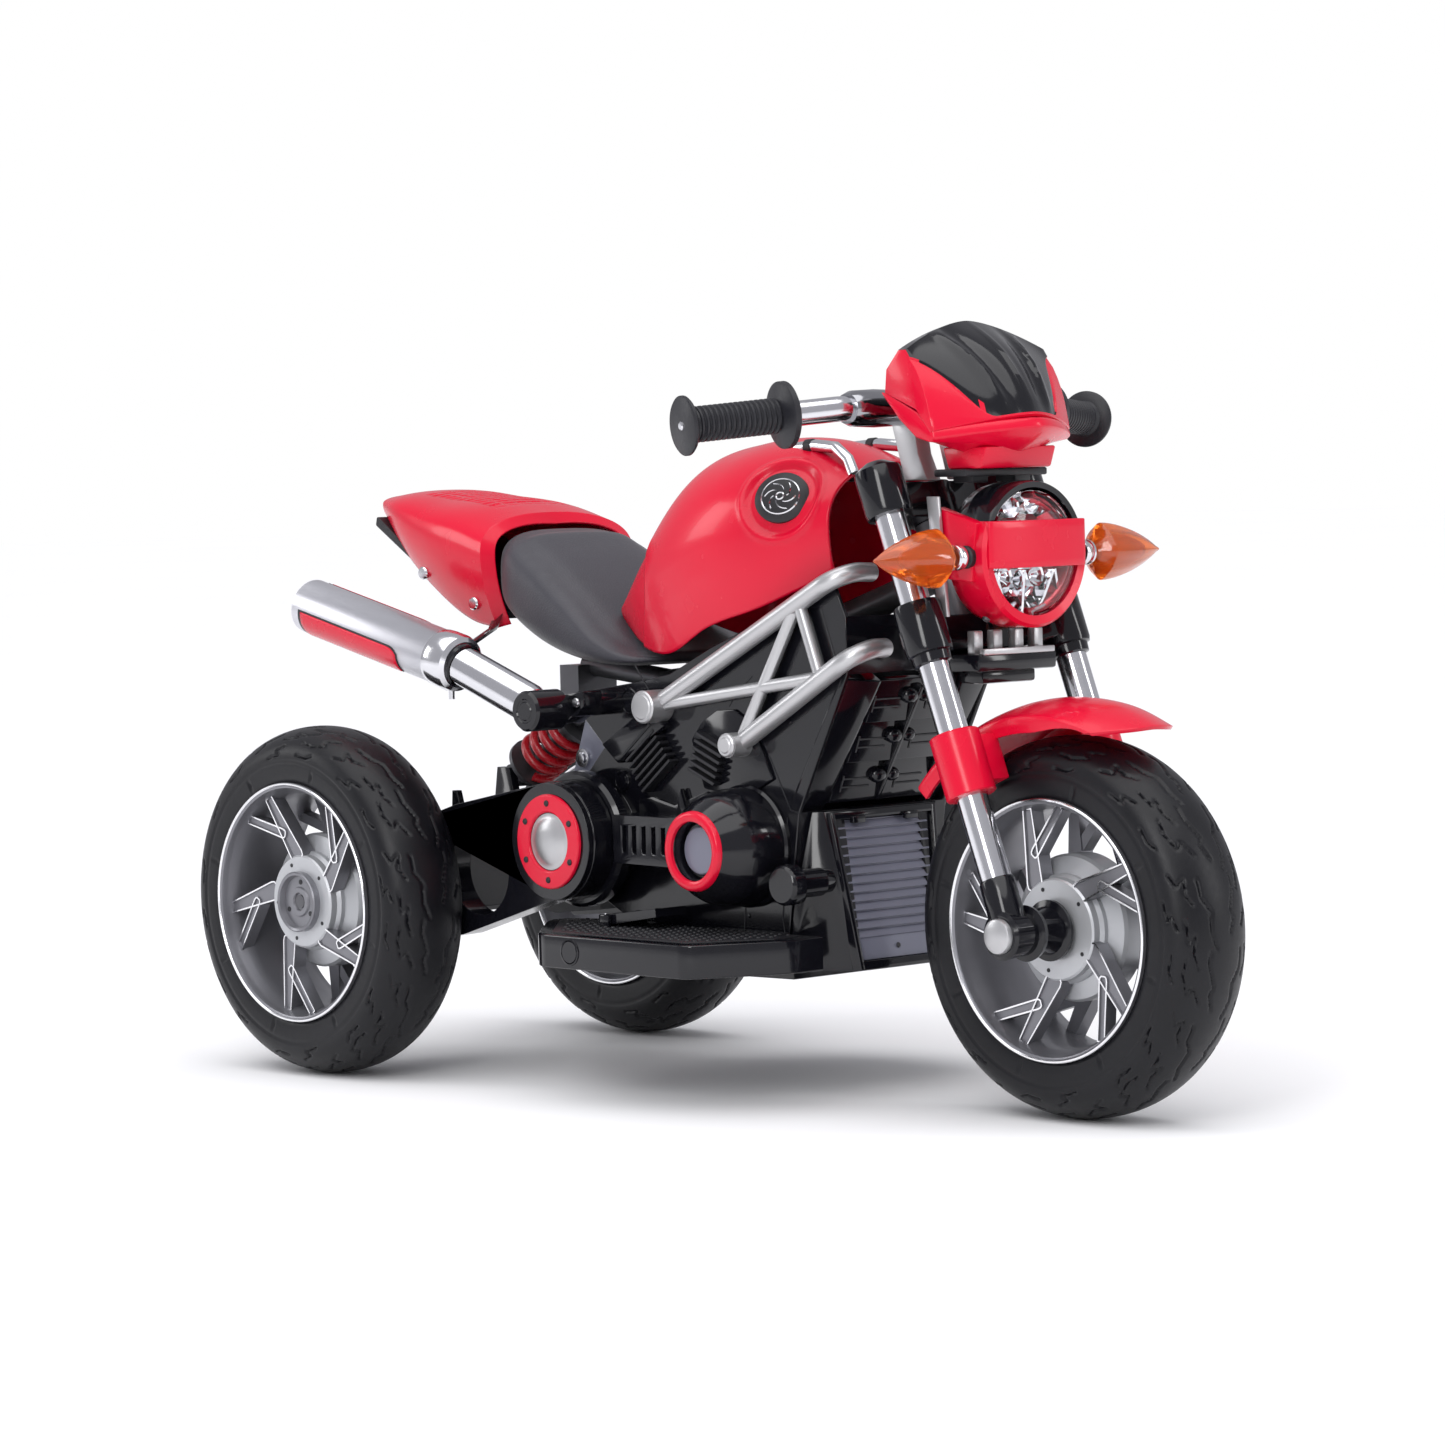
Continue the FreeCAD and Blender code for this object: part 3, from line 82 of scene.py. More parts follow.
def at(x, y, z):
    return Matrix.Translation((x, y, z))


def on_leg(side):
    """Along one fork leg, upwards from the height of the front axle."""
    return ON_FORK @ at(0, FORK_HALF * side, 0)


def aimed(origin, direction, up=(0, 0, 1)):
    """A placing whose local Z runs along the direction."""
    z = Vector(direction).normalized()
    x = Vector(up).cross(z)
    if x.length < 1e-6:
        x = Vector((1, 0, 0))
    x.normalize()
    turn = Matrix((x, z.cross(x), z)).transposed().to_4x4()
    return Matrix.Translation(origin) @ turn


def sideways(x, y, z):
    """A placing whose local Z runs out of the right-hand side."""
    return aimed((x, y, z), (0, -1, 0))


def eased(low, high, t):
    """0 below low, 1 above high, and smooth between."""
    t = np.clip((t - low) / (high - low), 0, 1)
    return t * t * (3 - 2 * t)


def curve_through(knots, values):
    """A smooth function through values at rising knots."""
    knots, values = np.array(knots, float), np.array(values, float)
    slopes = np.gradient(values, knots)

    def read(t):
        t = min(max(t, knots[0]), knots[-1])
        i = min(np.searchsorted(knots, t, side="right") - 1, len(knots) - 2)
        gap = knots[i + 1] - knots[i]
        s = (t - knots[i]) / gap
        return ((1 + 2 * s) * (1 - s) ** 2 * values[i] + s * (1 - s) ** 2 * gap * slopes[i]
                + s * s * (3 - 2 * s) * values[i + 1] + s * s * (s - 1) * gap * slopes[i + 1])
    return read


# ---------------------------------------------------------------- shaping
def put(bm, matrix):
    bmesh.ops.transform(bm, matrix=matrix, verts=bm.verts)
    return bm


def paint(bm, index):
    for face in bm.faces:
        face.material_index = index
    return bm


def joined(*parts):
    whole = parts[0]
    for part in parts[1:]:
        mesh = bpy.data.meshes.new("part")
        part.to_mesh(mesh)
        part.free()
        whole.from_mesh(mesh)
        bpy.data.meshes.remove(mesh)
    return whole


def outward(bm):
    bmesh.ops.remove_doubles(bm, verts=bm.verts, dist=0.005)
    bmesh.ops.recalc_face_normals(bm, faces=bm.faces)
    return bm


def both_sides(bm):
    """Adds the same shape on the other side of the middle plane."""
    other = bm.copy()
    bmesh.ops.scale(other, vec=(1, -1, 1), verts=other.verts)
    bmesh.ops.reverse_faces(other, faces=other.faces)
    return joined(bm, other)


def turned(profile, steps=72, matrix=None):
    """A profile of (radius, height) points spun about local Z."""
    bm = bmesh.new()
    verts = [bm.verts.new((radius, 0, height)) for radius, height in profile]
    edges = [bm.edges.new(pair) for pair in zip(verts, verts[1:])]
    bmesh.ops.spin(bm, geom=verts + edges, cent=(0, 0, 0), axis=(0, 0, 1),
                   angle=2 * math.pi, steps=steps, use_merge=True, use_duplicate=False)
    outward(bm)
    return put(bm, matrix) if matrix else bm


def skin(rings, closed=True, caps=True):
    """Stretches one ring of points to the next, ring after ring."""
    bm = bmesh.new()
    verts = [bm.verts.new(point) for point in rings[0]]
    count = len(verts)
    spans = range(count if closed else count - 1)
    edges = [bm.edges.new((verts[i], verts[(i + 1) % count])) for i in spans]
    if caps:
        bm.faces.new(verts)
    for ring in rings[1:]:
        grown = bmesh.ops.extrude_edge_only(bm, edges=edges)["geom"]
        fresh = {item for item in grown if isinstance(item, bmesh.types.BMVert)}
        follow = []
        for old in verts:
            reached = (edge.other_vert(old) for edge in old.link_edges)
            follow.append(next(vert for vert in reached if vert in fresh))
        for vert, point in zip(follow, ring):
            vert.co = point
        verts = follow
        edges = [bm.edges.get((verts[i], verts[(i + 1) % count])) for i in spans]
    if caps:
        bm.faces.new(verts)
    bmesh.ops.recalc_face_normals(bm, faces=bm.faces)
    return bm


def thickened(bm, face, step):
    """Draws a face out along local Z and closes the solid between."""
    grown = bmesh.ops.extrude_face_region(bm, geom=[face])["geom"]
    moved = [item for item in grown if isinstance(item, bmesh.types.BMVert)]
    bmesh.ops.translate(bm, vec=(0, 0, step), verts=moved)
    bmesh.ops.recalc_face_normals(bm, faces=bm.faces)


def plate(outline, low, high, matrix=None):
    """A flat outline of (x, y) points made thick from z = low to z = high."""
    bm = bmesh.new()
    thickened(bm, bm.faces.new([bm.verts.new((x, y, low)) for x, y in outline]), high - low)
    return put(bm, matrix) if matrix else bm


def side_plate(outline, low, high):
    """An outline in X and Z made thick from y = low to y = high."""
    return plate([(x, z) for x, z in outline], -high, -low, Matrix.Rotation(math.radians(90), 4, "X"))


def drum(radius, low, high, matrix=None, segments=48, top=None):
    bm = bmesh.new()
    bmesh.ops.create_cone(bm, cap_ends=True, segments=segments, radius1=radius,
                          radius2=radius if top is None else top, depth=high - low,
                          matrix=at(0, 0, (low + high) / 2))
    return put(bm, matrix) if matrix else bm


def block(low, high):
    bm = bmesh.new()
    size = [b - a for a, b in zip(low, high)]
    centre = [(a + b) / 2 for a, b in zip(low, high)]
    bmesh.ops.create_cube(bm, size=1, matrix=at(*centre) @ Matrix.Diagonal((*size, 1)))
    return bm


def rounded(bm, width, segments=2, angle=28):
    """Rounds every edge sharper than the angle."""
    limit = math.radians(angle)
    sharp = [edge for edge in bm.edges if len(edge.link_faces) == 2 and edge.calc_face_angle(0) > limit]
    bmesh.ops.bevel(bm, geom=sharp, offset=width, offset_type="OFFSET", segments=segments, profile=0.5,
                    affect="EDGES", clamp_overlap=True, material=-1)
    return bm


def surface(columns, rows, shape, centre):
    """A grid bent by shape(u, v), both from 0 to 1, facing away from the centre."""
    bm = bmesh.new()
    bmesh.ops.create_grid(bm, x_segments=columns, y_segments=rows, size=0.5)
    for vert in bm.verts:
        vert.co = shape(vert.co.x + 0.5, vert.co.y + 0.5)
    bm.normal_update()
    centre = Vector(centre)
    if sum(face.normal.dot(face.calc_center_median() - centre) * face.calc_area() for face in bm.faces) < 0:
        bmesh.ops.reverse_faces(bm, faces=bm.faces)
    return bm


def cad_copy(node):
    """The node's own shape with its loose triangles joined into clean faces."""
    bm = bmesh.new()
    bm.from_mesh(frame["nodes"][node].data)
    bmesh.ops.scale(bm, vec=(MM, MM, MM), verts=bm.verts)
    bmesh.ops.remove_doubles(bm, verts=bm.verts, dist=0.01)
    bmesh.ops.dissolve_limit(bm, angle_limit=math.radians(0.6), verts=bm.verts, edges=bm.edges)
    return bm


def piece(name, bm, finishes, body, stands_for=(), slot=None, smooth=35, levels=0, thick=0, bevel=0,
          bevel_steps=2):
    """Turns a drawn shape into a finished piece that moves with its body."""
    finishes = finishes if isinstance(finishes, (list, tuple)) else [finishes]
    bmesh.ops.scale(bm, vec=(1 / MM, 1 / MM, 1 / MM), verts=bm.verts)
    mesh = bpy.data.meshes.new(name)
    bm.to_mesh(mesh)
    bm.free()
    obj = bpy.data.objects.new(name, mesh)
    bpy.context.scene.collection.objects.link(obj)
    for finish in finishes:
        mesh.materials.append(finish)
    mesh.shade_smooth()
    mesh.set_sharp_from_angle(angle=math.radians(smooth))
    if thick:
        wall = obj.modifiers.new("wall", "SOLIDIFY")
        wall.thickness = thick / MM
        wall.offset = -1
    if bevel:
        edge = obj.modifiers.new("rounding", "BEVEL")
        edge.width = bevel / MM
        edge.segments = bevel_steps
        edge.limit_method = "ANGLE"
        edge.angle_limit = math.radians(28)
        edge.use_clamp_overlap = True
    if levels:
        smoother = obj.modifiers.new("smoothing", "SUBSURF")
        smoother.levels = levels
        smoother.render_levels = levels
    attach(obj, body)
    slot or SLOT_OF[finishes[0]]
    if stands_for:
        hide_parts(*stands_for)
    return obj


# ---------------------------------------------------------------- finishes
def finish(name, colour, rough, metal=0.0, coat=0.0, mottle=0.06, patch=14, smear=0.04, grain=0.0,
           grain_scale=900, stretch=(1, 1, 1), clear=0.0, sheen=0.0, ior=1.5, cells=False):
    """A moulded, painted or plated finish with patchy tone, smeared gloss and a fine grain."""
    material = bpy.data.materials.new(name)
    material.use_nodes = True
    nodes, links = material.node_tree.nodes, material.node_tree.links
    shader = nodes["Principled BSDF"]
    shader.inputs["Metallic"].default_value = metal
    shader.inputs["Coat Weight"].default_value = coat
    shader.inputs["Coat Roughness"].default_value = 0.04
    shader.inputs["Transmission Weight"].default_value = clear
    shader.inputs["Sheen Weight"].default_value = sheen
    shader.inputs["Sheen Roughness"].default_value = 0.4
    shader.inputs["IOR"].default_value = ior
    place = nodes.new("ShaderNodeTexCoord")
    spread = nodes.new("ShaderNodeMapping")
    spread.inputs["Scale"].default_value = stretch
    links.new(place.outputs["Object"], spread.inputs["Vector"])

    def noise(scale, detail):
        node = nodes.new("ShaderNodeTexNoise")
        node.inputs["Scale"].default_value = scale
        node.inputs["Detail"].default_value = detail
        links.new(spread.outputs["Vector"], node.inputs["Vector"])
        return node.outputs["Fac"]

    tone = nodes.new("ShaderNodeMix")
    tone.data_type = "RGBA"
    tone.inputs["A"].default_value = (*[c * (1 - mottle) for c in colour], 1)
    tone.inputs["B"].default_value = (*[min(1, c * (1 + mottle)) for c in colour], 1)
    links.new(noise(patch, 3), tone.inputs["Factor"])
    links.new(tone.outputs["Result"], shader.inputs["Base Color"])
    gloss = nodes.new("ShaderNodeMapRange")
    gloss.inputs["To Min"].default_value = max(0.01, rough - smear)
    gloss.inputs["To Max"].default_value = rough + smear
    links.new(noise(patch * 5, 4), gloss.inputs["Value"])
    links.new(gloss.outputs["Result"], shader.inputs["Roughness"])
    if grain:
        bump = nodes.new("ShaderNodeBump")
        bump.inputs["Strength"].default_value = grain
        bump.inputs["Distance"].default_value = 0.0004
        if cells:
            pebble = nodes.new("ShaderNodeTexVoronoi")
            pebble.feature = "SMOOTH_F1"
            pebble.inputs["Scale"].default_value = grain_scale
            links.new(spread.outputs["Vector"], pebble.inputs["Vector"])
            links.new(pebble.outputs["Distance"], bump.inputs["Height"])
        else:
            links.new(noise(grain_scale, 4), bump.inputs["Height"])
        links.new(bump.outputs["Normal"], shader.inputs["Normal"])
    return material


RED = finish("crimson_gloss", (0.66, 0.002, 0.028), 0.26, coat=0.15, ior=1.36, mottle=0.05, patch=7,
             smear=0.05, grain=0.03, grain_scale=260)
BLACK = finish("black_gloss", (0.005, 0.005, 0.0075), 0.13, coat=0.15, mottle=0.3, patch=10, smear=0.06,
               grain=0.03, grain_scale=180, ior=1.42)
DARK = finish("dark_matt", (0.009, 0.009, 0.012), 0.5, mottle=0.25, patch=30, smear=0.08, grain=0.35)
SEAT = finish("seat_vinyl", (0.035, 0.034, 0.044), 0.5, mottle=0.12, patch=24, smear=0.07, grain=0.5,
              grain_scale=700, sheen=0.15, cells=True)
CHROME = finish("bright_chrome", (0.7, 0.7, 0.73), 0.16, metal=1.0, mottle=0.05, patch=20, smear=0.04)
SATIN = finish("satin_silver", (0.5, 0.5, 0.51), 0.34, metal=0.75, coat=0.2, mottle=0.05, patch=30,
               smear=0.06, grain=0.12, grain_scale=1400)
BRUSHED = finish("brushed_silver", (0.6, 0.6, 0.64), 0.34, metal=0.9, mottle=0.06, patch=16, smear=0.07,
                 stretch=(1, 8, 8), grain=0.06, grain_scale=220)
RIM = finish("rim_silver", (0.22, 0.22, 0.24), 0.36, metal=0.7, coat=0.15, mottle=0.07, patch=24, smear=0.06,
             grain=0.15, grain_scale=1500)
HUB = finish("hub_silver", (0.5, 0.51, 0.53), 0.38, metal=0.5, mottle=0.05, patch=24, smear=0.05, grain=0.12)
EDGE = finish("machined_edge", (0.85, 0.85, 0.87), 0.18, metal=1.0, mottle=0.05, patch=60, smear=0.05)
GRILLE = finish("grille_grey", (0.17, 0.175, 0.23), 0.34, metal=0.1, coat=0.15, mottle=0.07, patch=20,
                smear=0.05, grain=0.1)
TYRE = finish("tyre_rubber", (0.004, 0.004, 0.006), 0.4, ior=1.38, mottle=0.35, patch=40, smear=0.08,
              grain=0.25, grain_scale=1100)
GRIP = finish("grip_rubber", (0.009, 0.009, 0.013), 0.45, mottle=0.25, patch=60, smear=0.07, grain=0.3)
STEEL = finish("frame_steel", (0.13, 0.13, 0.14), 0.4, metal=0.8, mottle=0.1, patch=40, smear=0.08, grain=0.2)
SPRING = finish("spring_red", (0.5, 0.012, 0.022), 0.28, coat=0.4, mottle=0.12, patch=60, smear=0.06)
AMBER = finish("amber_clear", (0.95, 0.2, 0.02), 0.1, clear=0.75, coat=0.3, mottle=0.1, patch=50, smear=0.04)
AMBER_CORE = finish("amber_core", (0.55, 0.09, 0.01), 0.3, clear=0.2, mottle=0.2, patch=90, smear=0.08)
CLEAR = finish("lamp_clear", (0.97, 0.97, 0.98), 0.02, clear=1.0, mottle=0.01, patch=20, smear=0.01, ior=1.3)
DARK_CHROME = finish("dark_chrome", (0.35, 0.35, 0.37), 0.12, metal=1.0, mottle=0.05, patch=30, smear=0.05)
MIRROR = finish("reflector_mirror", (0.9, 0.9, 0.92), 0.07, metal=1.0, mottle=0.04, patch=60, smear=0.03)
# Red for patches on the mirror reflector: a painted reflection of red surroundings.
RED_REFLECTION_PAINT = finish("reflector_painted_red_reflection", (0.6, 0.05, 0.07), 0.12, metal=0.7, mottle=0.2, patch=40, smear=0.04)

BY_SLOT = {"red_gloss": RED, "black_gloss": BLACK, "dark_matt": DARK, "seat_vinyl": SEAT, "chrome": CHROME,
           "silver_satin": SATIN, "rim_silver": RIM, "grille_grey": GRILLE, "tyre_black": TYRE,
           "grip_rubber": GRIP, "amber_clear": AMBER, "lamp_clear": CLEAR, "frame_steel": STEEL,
           "spring_red": SPRING, "bright_stem": CHROME}
SLOT_OF = {material: slot for slot, material in BY_SLOT.items() if slot != "bright_stem"}
SLOT_OF.update({DARK_CHROME: "chrome", MIRROR: "chrome", BRUSHED: "silver_satin", AMBER_CORE: "amber_clear"})
for part in frame["record"]["subparts"]:
    node = frame["nodes"][part["node"]]
    node.data.materials.clear()
    node.data.materials.append(BY_SLOT[part["material_slot"]])


# ---------------------------------------------------------------- wheels
def tread_strokes():
    """Short wandering sipes in (degrees round, millimetres across) for one eighth of the tyre."""
    return [[(1, 7), (6, 12), (8, 9), (15, 16), (19, 15)],
            [(3, 21), (8, 28), (6, 33), (12, 38), (17, 36)],
            [(14, 22), (19, 27), (24, 25), (22, 31), (29, 33)],
            [(20, 8), (25, 13), (31, 12), (35, 19), (41, 20)],
            [(26, 42), (31, 46), (29, 50), (36, 52)],
            [(33, 26), (37, 32), (42, 30), (40, 37), (44, 41)],
            [(9, 45), (12, 49), (18, 48)],
            [(4, 64), (5.2, 64)], [(6.5, 66), (7.6, 66)]]


def tyre_shape():
    """A round-crowned tyre with a flat side band and sipes cut into the tread."""
    half, shoulder, bead = 41.0, 123.0, 103.0
    crown = WHEEL_RADIUS - shoulder
    steps = 76
    profile = [(bead - 1, -37.5), (bead + 0.5, -39.2), (bead + 4, -40.2), (bead + 9, -40.6),
               (bead + 14, -40.9), (shoulder - 3, -40.9), (shoulder - 1.4, -40.2)]
    for step in range(steps + 1):
        angle = math.pi * step / steps
        profile.append((shoulder + crown * math.sin(angle) ** 0.92, -half * math.cos(angle)))
    profile += [(radius, -height) for radius, height in profile[6::-1]]
    bm = turned(profile, steps=560)
    points = np.array([vert.co[:] for vert in bm.verts])
    radius = np.hypot(points[:, 0], points[:, 1])
    around = np.degrees(np.arctan2(points[:, 1], points[:, 0])) % 360
    height = np.linspace(-1, 1, 400)
    crown_radius = shoulder + crown * np.sqrt(1 - height ** 2) ** 0.92
    lengths = np.concatenate([[0], np.cumsum(np.hypot(np.diff(height * half), np.diff(crown_radius)))])
    across = np.interp(points[:, 2] / half, height, lengths - lengths[-1] / 2)
    side = np.sign(points[:, 2])
    flat = radius < shoulder - 1
    across[flat] = (lengths[-1] / 2 + shoulder - radius[flat]) * side[flat]
    cut = np.zeros(len(points))
    wander = random.Random(7)
    for flank in (-1, 1):
        for sector in range(8):
            lean = wander.uniform(-3, 3)
            for stroke in tread_strokes():
                shift = wander.uniform(-2, 2)
                for (a0, s0), (a1, s1) in zip(stroke, stroke[1:]):
                    start = sector * 45 + a0 + (22 if flank > 0 else 0)
                    stop = sector * 45 + a1 + (22 if flank > 0 else 0)
                    push = shift + lean if s0 < 55 else 0
                    turn = (around - start + 180) % 360 - 180
                    close = np.abs(turn) < 14
                    px, py = turn[close] * 2.4, across[close] * flank - s0 - push
                    dx, dy = (stop - start) * 2.4, s1 - s0
                    along = np.clip((px * dx + py * dy) / (dx * dx + dy * dy), 0, 1)
                    away = np.hypot(px - along * dx, py - along * dy)
                    cut[close] = np.maximum(cut[close], 1 - eased(0.45, 1.3, away))
    depth = 1.7 * cut
    centre = np.stack([points[:, 0] / radius * (shoulder - 8), points[:, 1] / radius * (shoulder - 8),
                       np.zeros(len(points))], 1)
    inward = centre - points
    inward /= np.linalg.norm(inward, axis=1, keepdims=True)
    points += inward * depth[:, None]
    for vert, point in zip(bm.verts, points):
        vert.co = point
    return bm


def blade(r0, a0, r1, a1, w0, w1, sweep, top0, top1, deep):
    """One straight spoke blade with two bright edges and a channel between them."""
    foot, tip = (Vector((r * math.cos(a), r * math.sin(a), 0))
                 for r, a in ((r0, math.radians(a0) * sweep), (r1, math.radians(a1) * sweep)))
    ahead = (tip - foot).normalized()
    normal = Vector((-ahead.y, ahead.x, 0))
    left, right = [], []
    for t, narrow in ((0, 0.5), (0.03, 0.85), (0.09, 1), (0.4, 1), (0.7, 1), (1, 1)):
        centre = foot.lerp(tip, t)
        wide = (w0 + (w1 - w0) * t) / 2 * narrow
        left.append((centre + normal * wide, t))
        right.append((centre - normal * wide, t))
    ring = left + right[::-1]
    bm = bmesh.new()
    top = bm.faces.new([bm.verts.new((p.x, p.y, top0 + (top1 - top0) * t)) for p, t in ring])
    thickened(bm, top, -deep)
    bm.faces.ensure_lookup_table()
    top = max(bm.faces, key=lambda face: face.calc_center_median().z * (face.calc_area() > 50))
    inset = bmesh.ops.inset_region(bm, faces=[top], thickness=1.3, depth=0)["faces"]
    for face in inset:
        face.material_index = 1
    bmesh.ops.inset_region(bm, faces=[top], thickness=0.5, depth=-1.6)
    return bm


def rim_shape(sweep, phase):
    """Barrel, hub, drum and both faces of spokes, outer face towards local +Z; 0 grey, 1 bright, 2 hub."""
    edge = RIM_HALF
    half_barrel = [(103, edge - 5), (103, edge - 0.6), (102.4, edge), (101.2, edge), (100.6, edge - 0.8),
                   (99.8, edge - 1.6), (98.6, edge - 2), (97.6, edge - 5), (96.8, edge - 9), (94, edge - 14),
                   (92.4, edge - 24), (92, 6)]
    barrel = turned(half_barrel + [(radius, -height) for radius, height in half_barrel[::-1]], steps=144)
    for face in barrel.faces:
        centre = face.calc_center_median()
        if abs(centre.z) > edge - 0.9 and 100.4 < centre.xy.length:
            face.material_index = 1
    parts = [barrel]
    faces = []
    for index in range(5):
        turn = phase * sweep + 72 * index
        faces.append(blade(35, turn, 97, turn + 21, 18, 9.5, sweep, 29.5, 33, 13))
        faces.append(blade(60, turn + 15, 97, turn + 42, 9, 8, sweep, 31, 33, 12))
    spokes = joined(*faces)
    parts.append(spokes)
    other = spokes.copy()
    bmesh.ops.scale(other, vec=(1, 1, -1), verts=other.verts)
    bmesh.ops.reverse_faces(other, faces=other.faces)
    parts.append(other)
    hub = turned([(6.2, 30), (24, 30), (38.5, 30), (40, 28.5), (40.5, 23), (43, 20), (43, 16), (56, 12),
                  (58, 9), (58, -9), (56, -12), (43, -16), (40, -20), (38, -30), (6.2, -30)], steps=96)
    parts.append(paint(hub, 2))
    return joined(*parts)


def wheel_matrix(centre, outward_side):
    return Matrix.Translation(centre) @ Matrix.Rotation(math.radians(-90 * outward_side), 4, "X")


def wheels():
    rubber = tyre_shape()
    rows = [("front", FRONT, -1, "front_wheel", -1, 90), ("right", Vector((REAR.x, -REAR_Y, REAR.z)), -1,
            "rear_wheel_right", 1, 21), ("left", Vector((REAR.x, REAR_Y, REAR.z)), 1, "rear_wheel_left", 1,
                                         21)]
    for name, centre, side, body, sweep, phase in rows:
        place = wheel_matrix(centre, side)
        tyre_node = "front_tyre" if name == "front" else f"rear_tyre_{name}"
        rim_node = "front_rim" if name == "front" else f"rear_rim_{name}"
        piece(f"{name}_wheel_tyre", put(rubber.copy(), place), TYRE, body, [tyre_node], smooth=60)
        shape = put(rim_shape(sweep, phase * sweep), place)
        piece(f"{name}_wheel_rim", shape, [RIM, EDGE, HUB], body, [rim_node], smooth=30)
        # Dark discs on the hub face where the stud holes are: painted shade standing in for the holes.
        stud_hole_shades = [paint(drum(1.7, 29.6, 30.3, at(33 * math.cos(a), 33 * math.sin(a), 0), 16), 0)
                 for a in (math.radians(72 * k + 40) for k in range(5))]
        piece(f"{name}_wheel_stud_hole_shades", put(joined(*stud_hole_shades), place), DARK, body)
        if name != "front":
            cap = turned([(0, 31), (7, 31), (8, 33), (12, 33), (13, 31.5), (21.5, 31.5), (23, 36), (25, 37),
                          (26, 36), (26, 30)], steps=64)
            # The dark discs in the cap's three holes and in its centre recess are painted shade standing in for
            # the holes.
            holes = [drum(2.2, 31, 31.9, at(17 * math.cos(a), 17 * math.sin(a), 0), 16)
                     for a in (math.radians(d) for d in (-35, 85, 205))]
            core = paint(joined(*holes, drum(6, 30.5, 31.4, None, 24)), 1)
            piece(f"{name}_hub_cap", put(joined(cap, core), place), [RIM, DARK], body,
                  [f"rear_hub_cap_{name}"])
    rubber.free()


# ---------------------------------------------------------------- tank, seat and tail
TANK_X = (-125, -80, -25, 30, 96, 160)
tank_low = curve_through(TANK_X, (386, 369, 362, 384, 402, 428))
tank_half = curve_through(TANK_X, (45, 68, 86, 94, 91, 72))
tank_high = curve_through(TANK_X, (410, 464, 519, 534, 535, 516))


def tank():
    """One smooth shell over the spine, with a round recess for the badge and a stepped knee panel."""
    length = TANK_X[-1] - TANK_X[0]

    def shape(u, v):
        x = TANK_X[0] + length * u
        low, half, high = tank_low(x), tank_half(x), tank_high(x)
        widest = low + (high - low) * 0.42
        s = 2 * v - 1
        side = -1 if s < 0 else 1
        s = abs(s)
        if s < 0.72:
            angle = s / 0.72 * math.pi / 2
            y = half * math.sin(angle) ** 1.05
            z = widest + (high - widest) * math.cos(angle) ** 0.86
        else:
            k = (s - 0.72) / 0.28
            y = half * (1 - 0.08 * k * k)
            z = widest - (widest - low) * k
        return Vector((x, side * y, z))

    bm = surface(150, 170, shape, (20, 0, 440))
    bm.normal_update()
    badge = Vector((112, -80, 492))
    for vert in list(bm.verts):
        x, y, z = vert.co
        near = Vector((x - badge.x, abs(y) + badge.y, z - badge.z))
        away = near.length
        sink = 5.5 * (1 - eased(31, 37, away)) + 1.2 * math.exp(-((away - 38) / 2.2) ** 2) * -1
        knee = -72 + (z - 368) * 0.12 + 9 * math.sin((z - 368) / 80 * math.pi)
        step = 2.4 * (1 - eased(knee - 1.5, knee + 1.5, x)) * (1 - eased(455, 470, z))
        vert.co -= vert.normal * (sink + step)
    piece("tank_cover", bm, RED, "frame", ["tank_shell"], smooth=50, thick=3)


def badge_shape():
    """A domed dark boss with a plain interlaced relief."""
    dome = turned([(0, 4.4), (8, 4.2), (15, 3.4), (20, 1.8), (22.5, 0), (22.5, -3)], steps=64)
    relief = []
    strokes = [(60 * k, 60 * k + 62, 5.5, 13) for k in range(6)] + [(0, 360, 15.6, 15.6), (0, 360, 3, 3)]
    for start, stop, inner, outer in strokes:
        ring = []
        steps = 20 if inner < outer else 60
        for step in range(steps + 1):
            t = step / steps
            angle, radius = math.radians(start + (stop - start) * t), inner + (outer - inner) * t
            centre = Vector((radius * math.cos(angle), radius * math.sin(angle),
                             4.5 - radius * radius * 0.006))
            out = Vector((math.cos(angle), math.sin(angle), 0))
            ring.append([centre + out * 0.8, centre + Vector((0, 0, 0.8)), centre - out * 0.8,
                         centre - Vector((0, 0, 0.8))])
        relief.append(skin(ring))
    return joined(dome, paint(joined(*relief), 1))


def badges():
    place = aimed((112, -76.5, 489), (0.36, -0.86, 0.36))
    shape = put(badge_shape(), place @ Matrix.Diagonal((1.05, 0.95, 1, 1)))
    piece("tank_badges", both_sides(shape), [DARK, CHROME], "frame", ["tank_medallions"])


SEAT_X = (-254, -240, -201, -151, -110, -81, -55)
seat_low = curve_through(SEAT_X, (392, 384, 364, 351, 349, 350, 353))
seat_half = curve_through(SEAT_X, (70, 77, 84, 87, 87, 83, 72))
seat_high = curve_through(SEAT_X, (465, 464, 446, 412, 378, 363, 359))


def seat():
    """A crowned pad with a raised cushion and a seam round it."""
    rings = []
    for step in range(31):
        x = SEAT_X[0] + (SEAT_X[-1] - SEAT_X[0]) * step / 30
        low, half, high = seat_low(x), seat_half(x), seat_high(x)
        ends = 1 - 0.06 * math.exp(-step / 1.2) - 0.3 * math.exp((step - 30) / 1.5)
        ring = []
        for part in range(36):
            angle = 2 * math.pi * part / 36
            y = half * ends * math.copysign(abs(math.sin(angle)) ** 0.62, math.sin(angle))
            lift = math.copysign(abs(math.cos(angle)) ** 0.6, math.cos(angle))
            z = (low + high) / 2 + (high - low) / 2 * lift
            ring.append(Vector((x, y, z)))
        rings.append(ring)
    bm = skin(rings)
    bm.normal_update()
    for vert in bm.verts:
        x, y, z = vert.co
        if vert.normal.z > 0.3:
            inside = min(seat_half(x) * 0.74 - abs(y), x + 232)
            vert.co.z += 2.5 * eased(-3, 6, inside) - 1.2 * math.exp(-((inside + 2) / 2.5) ** 2)
    obj = piece("seat_cushion", bm, SEAT, "frame", ["seat_pad"], smooth=180, levels=2)


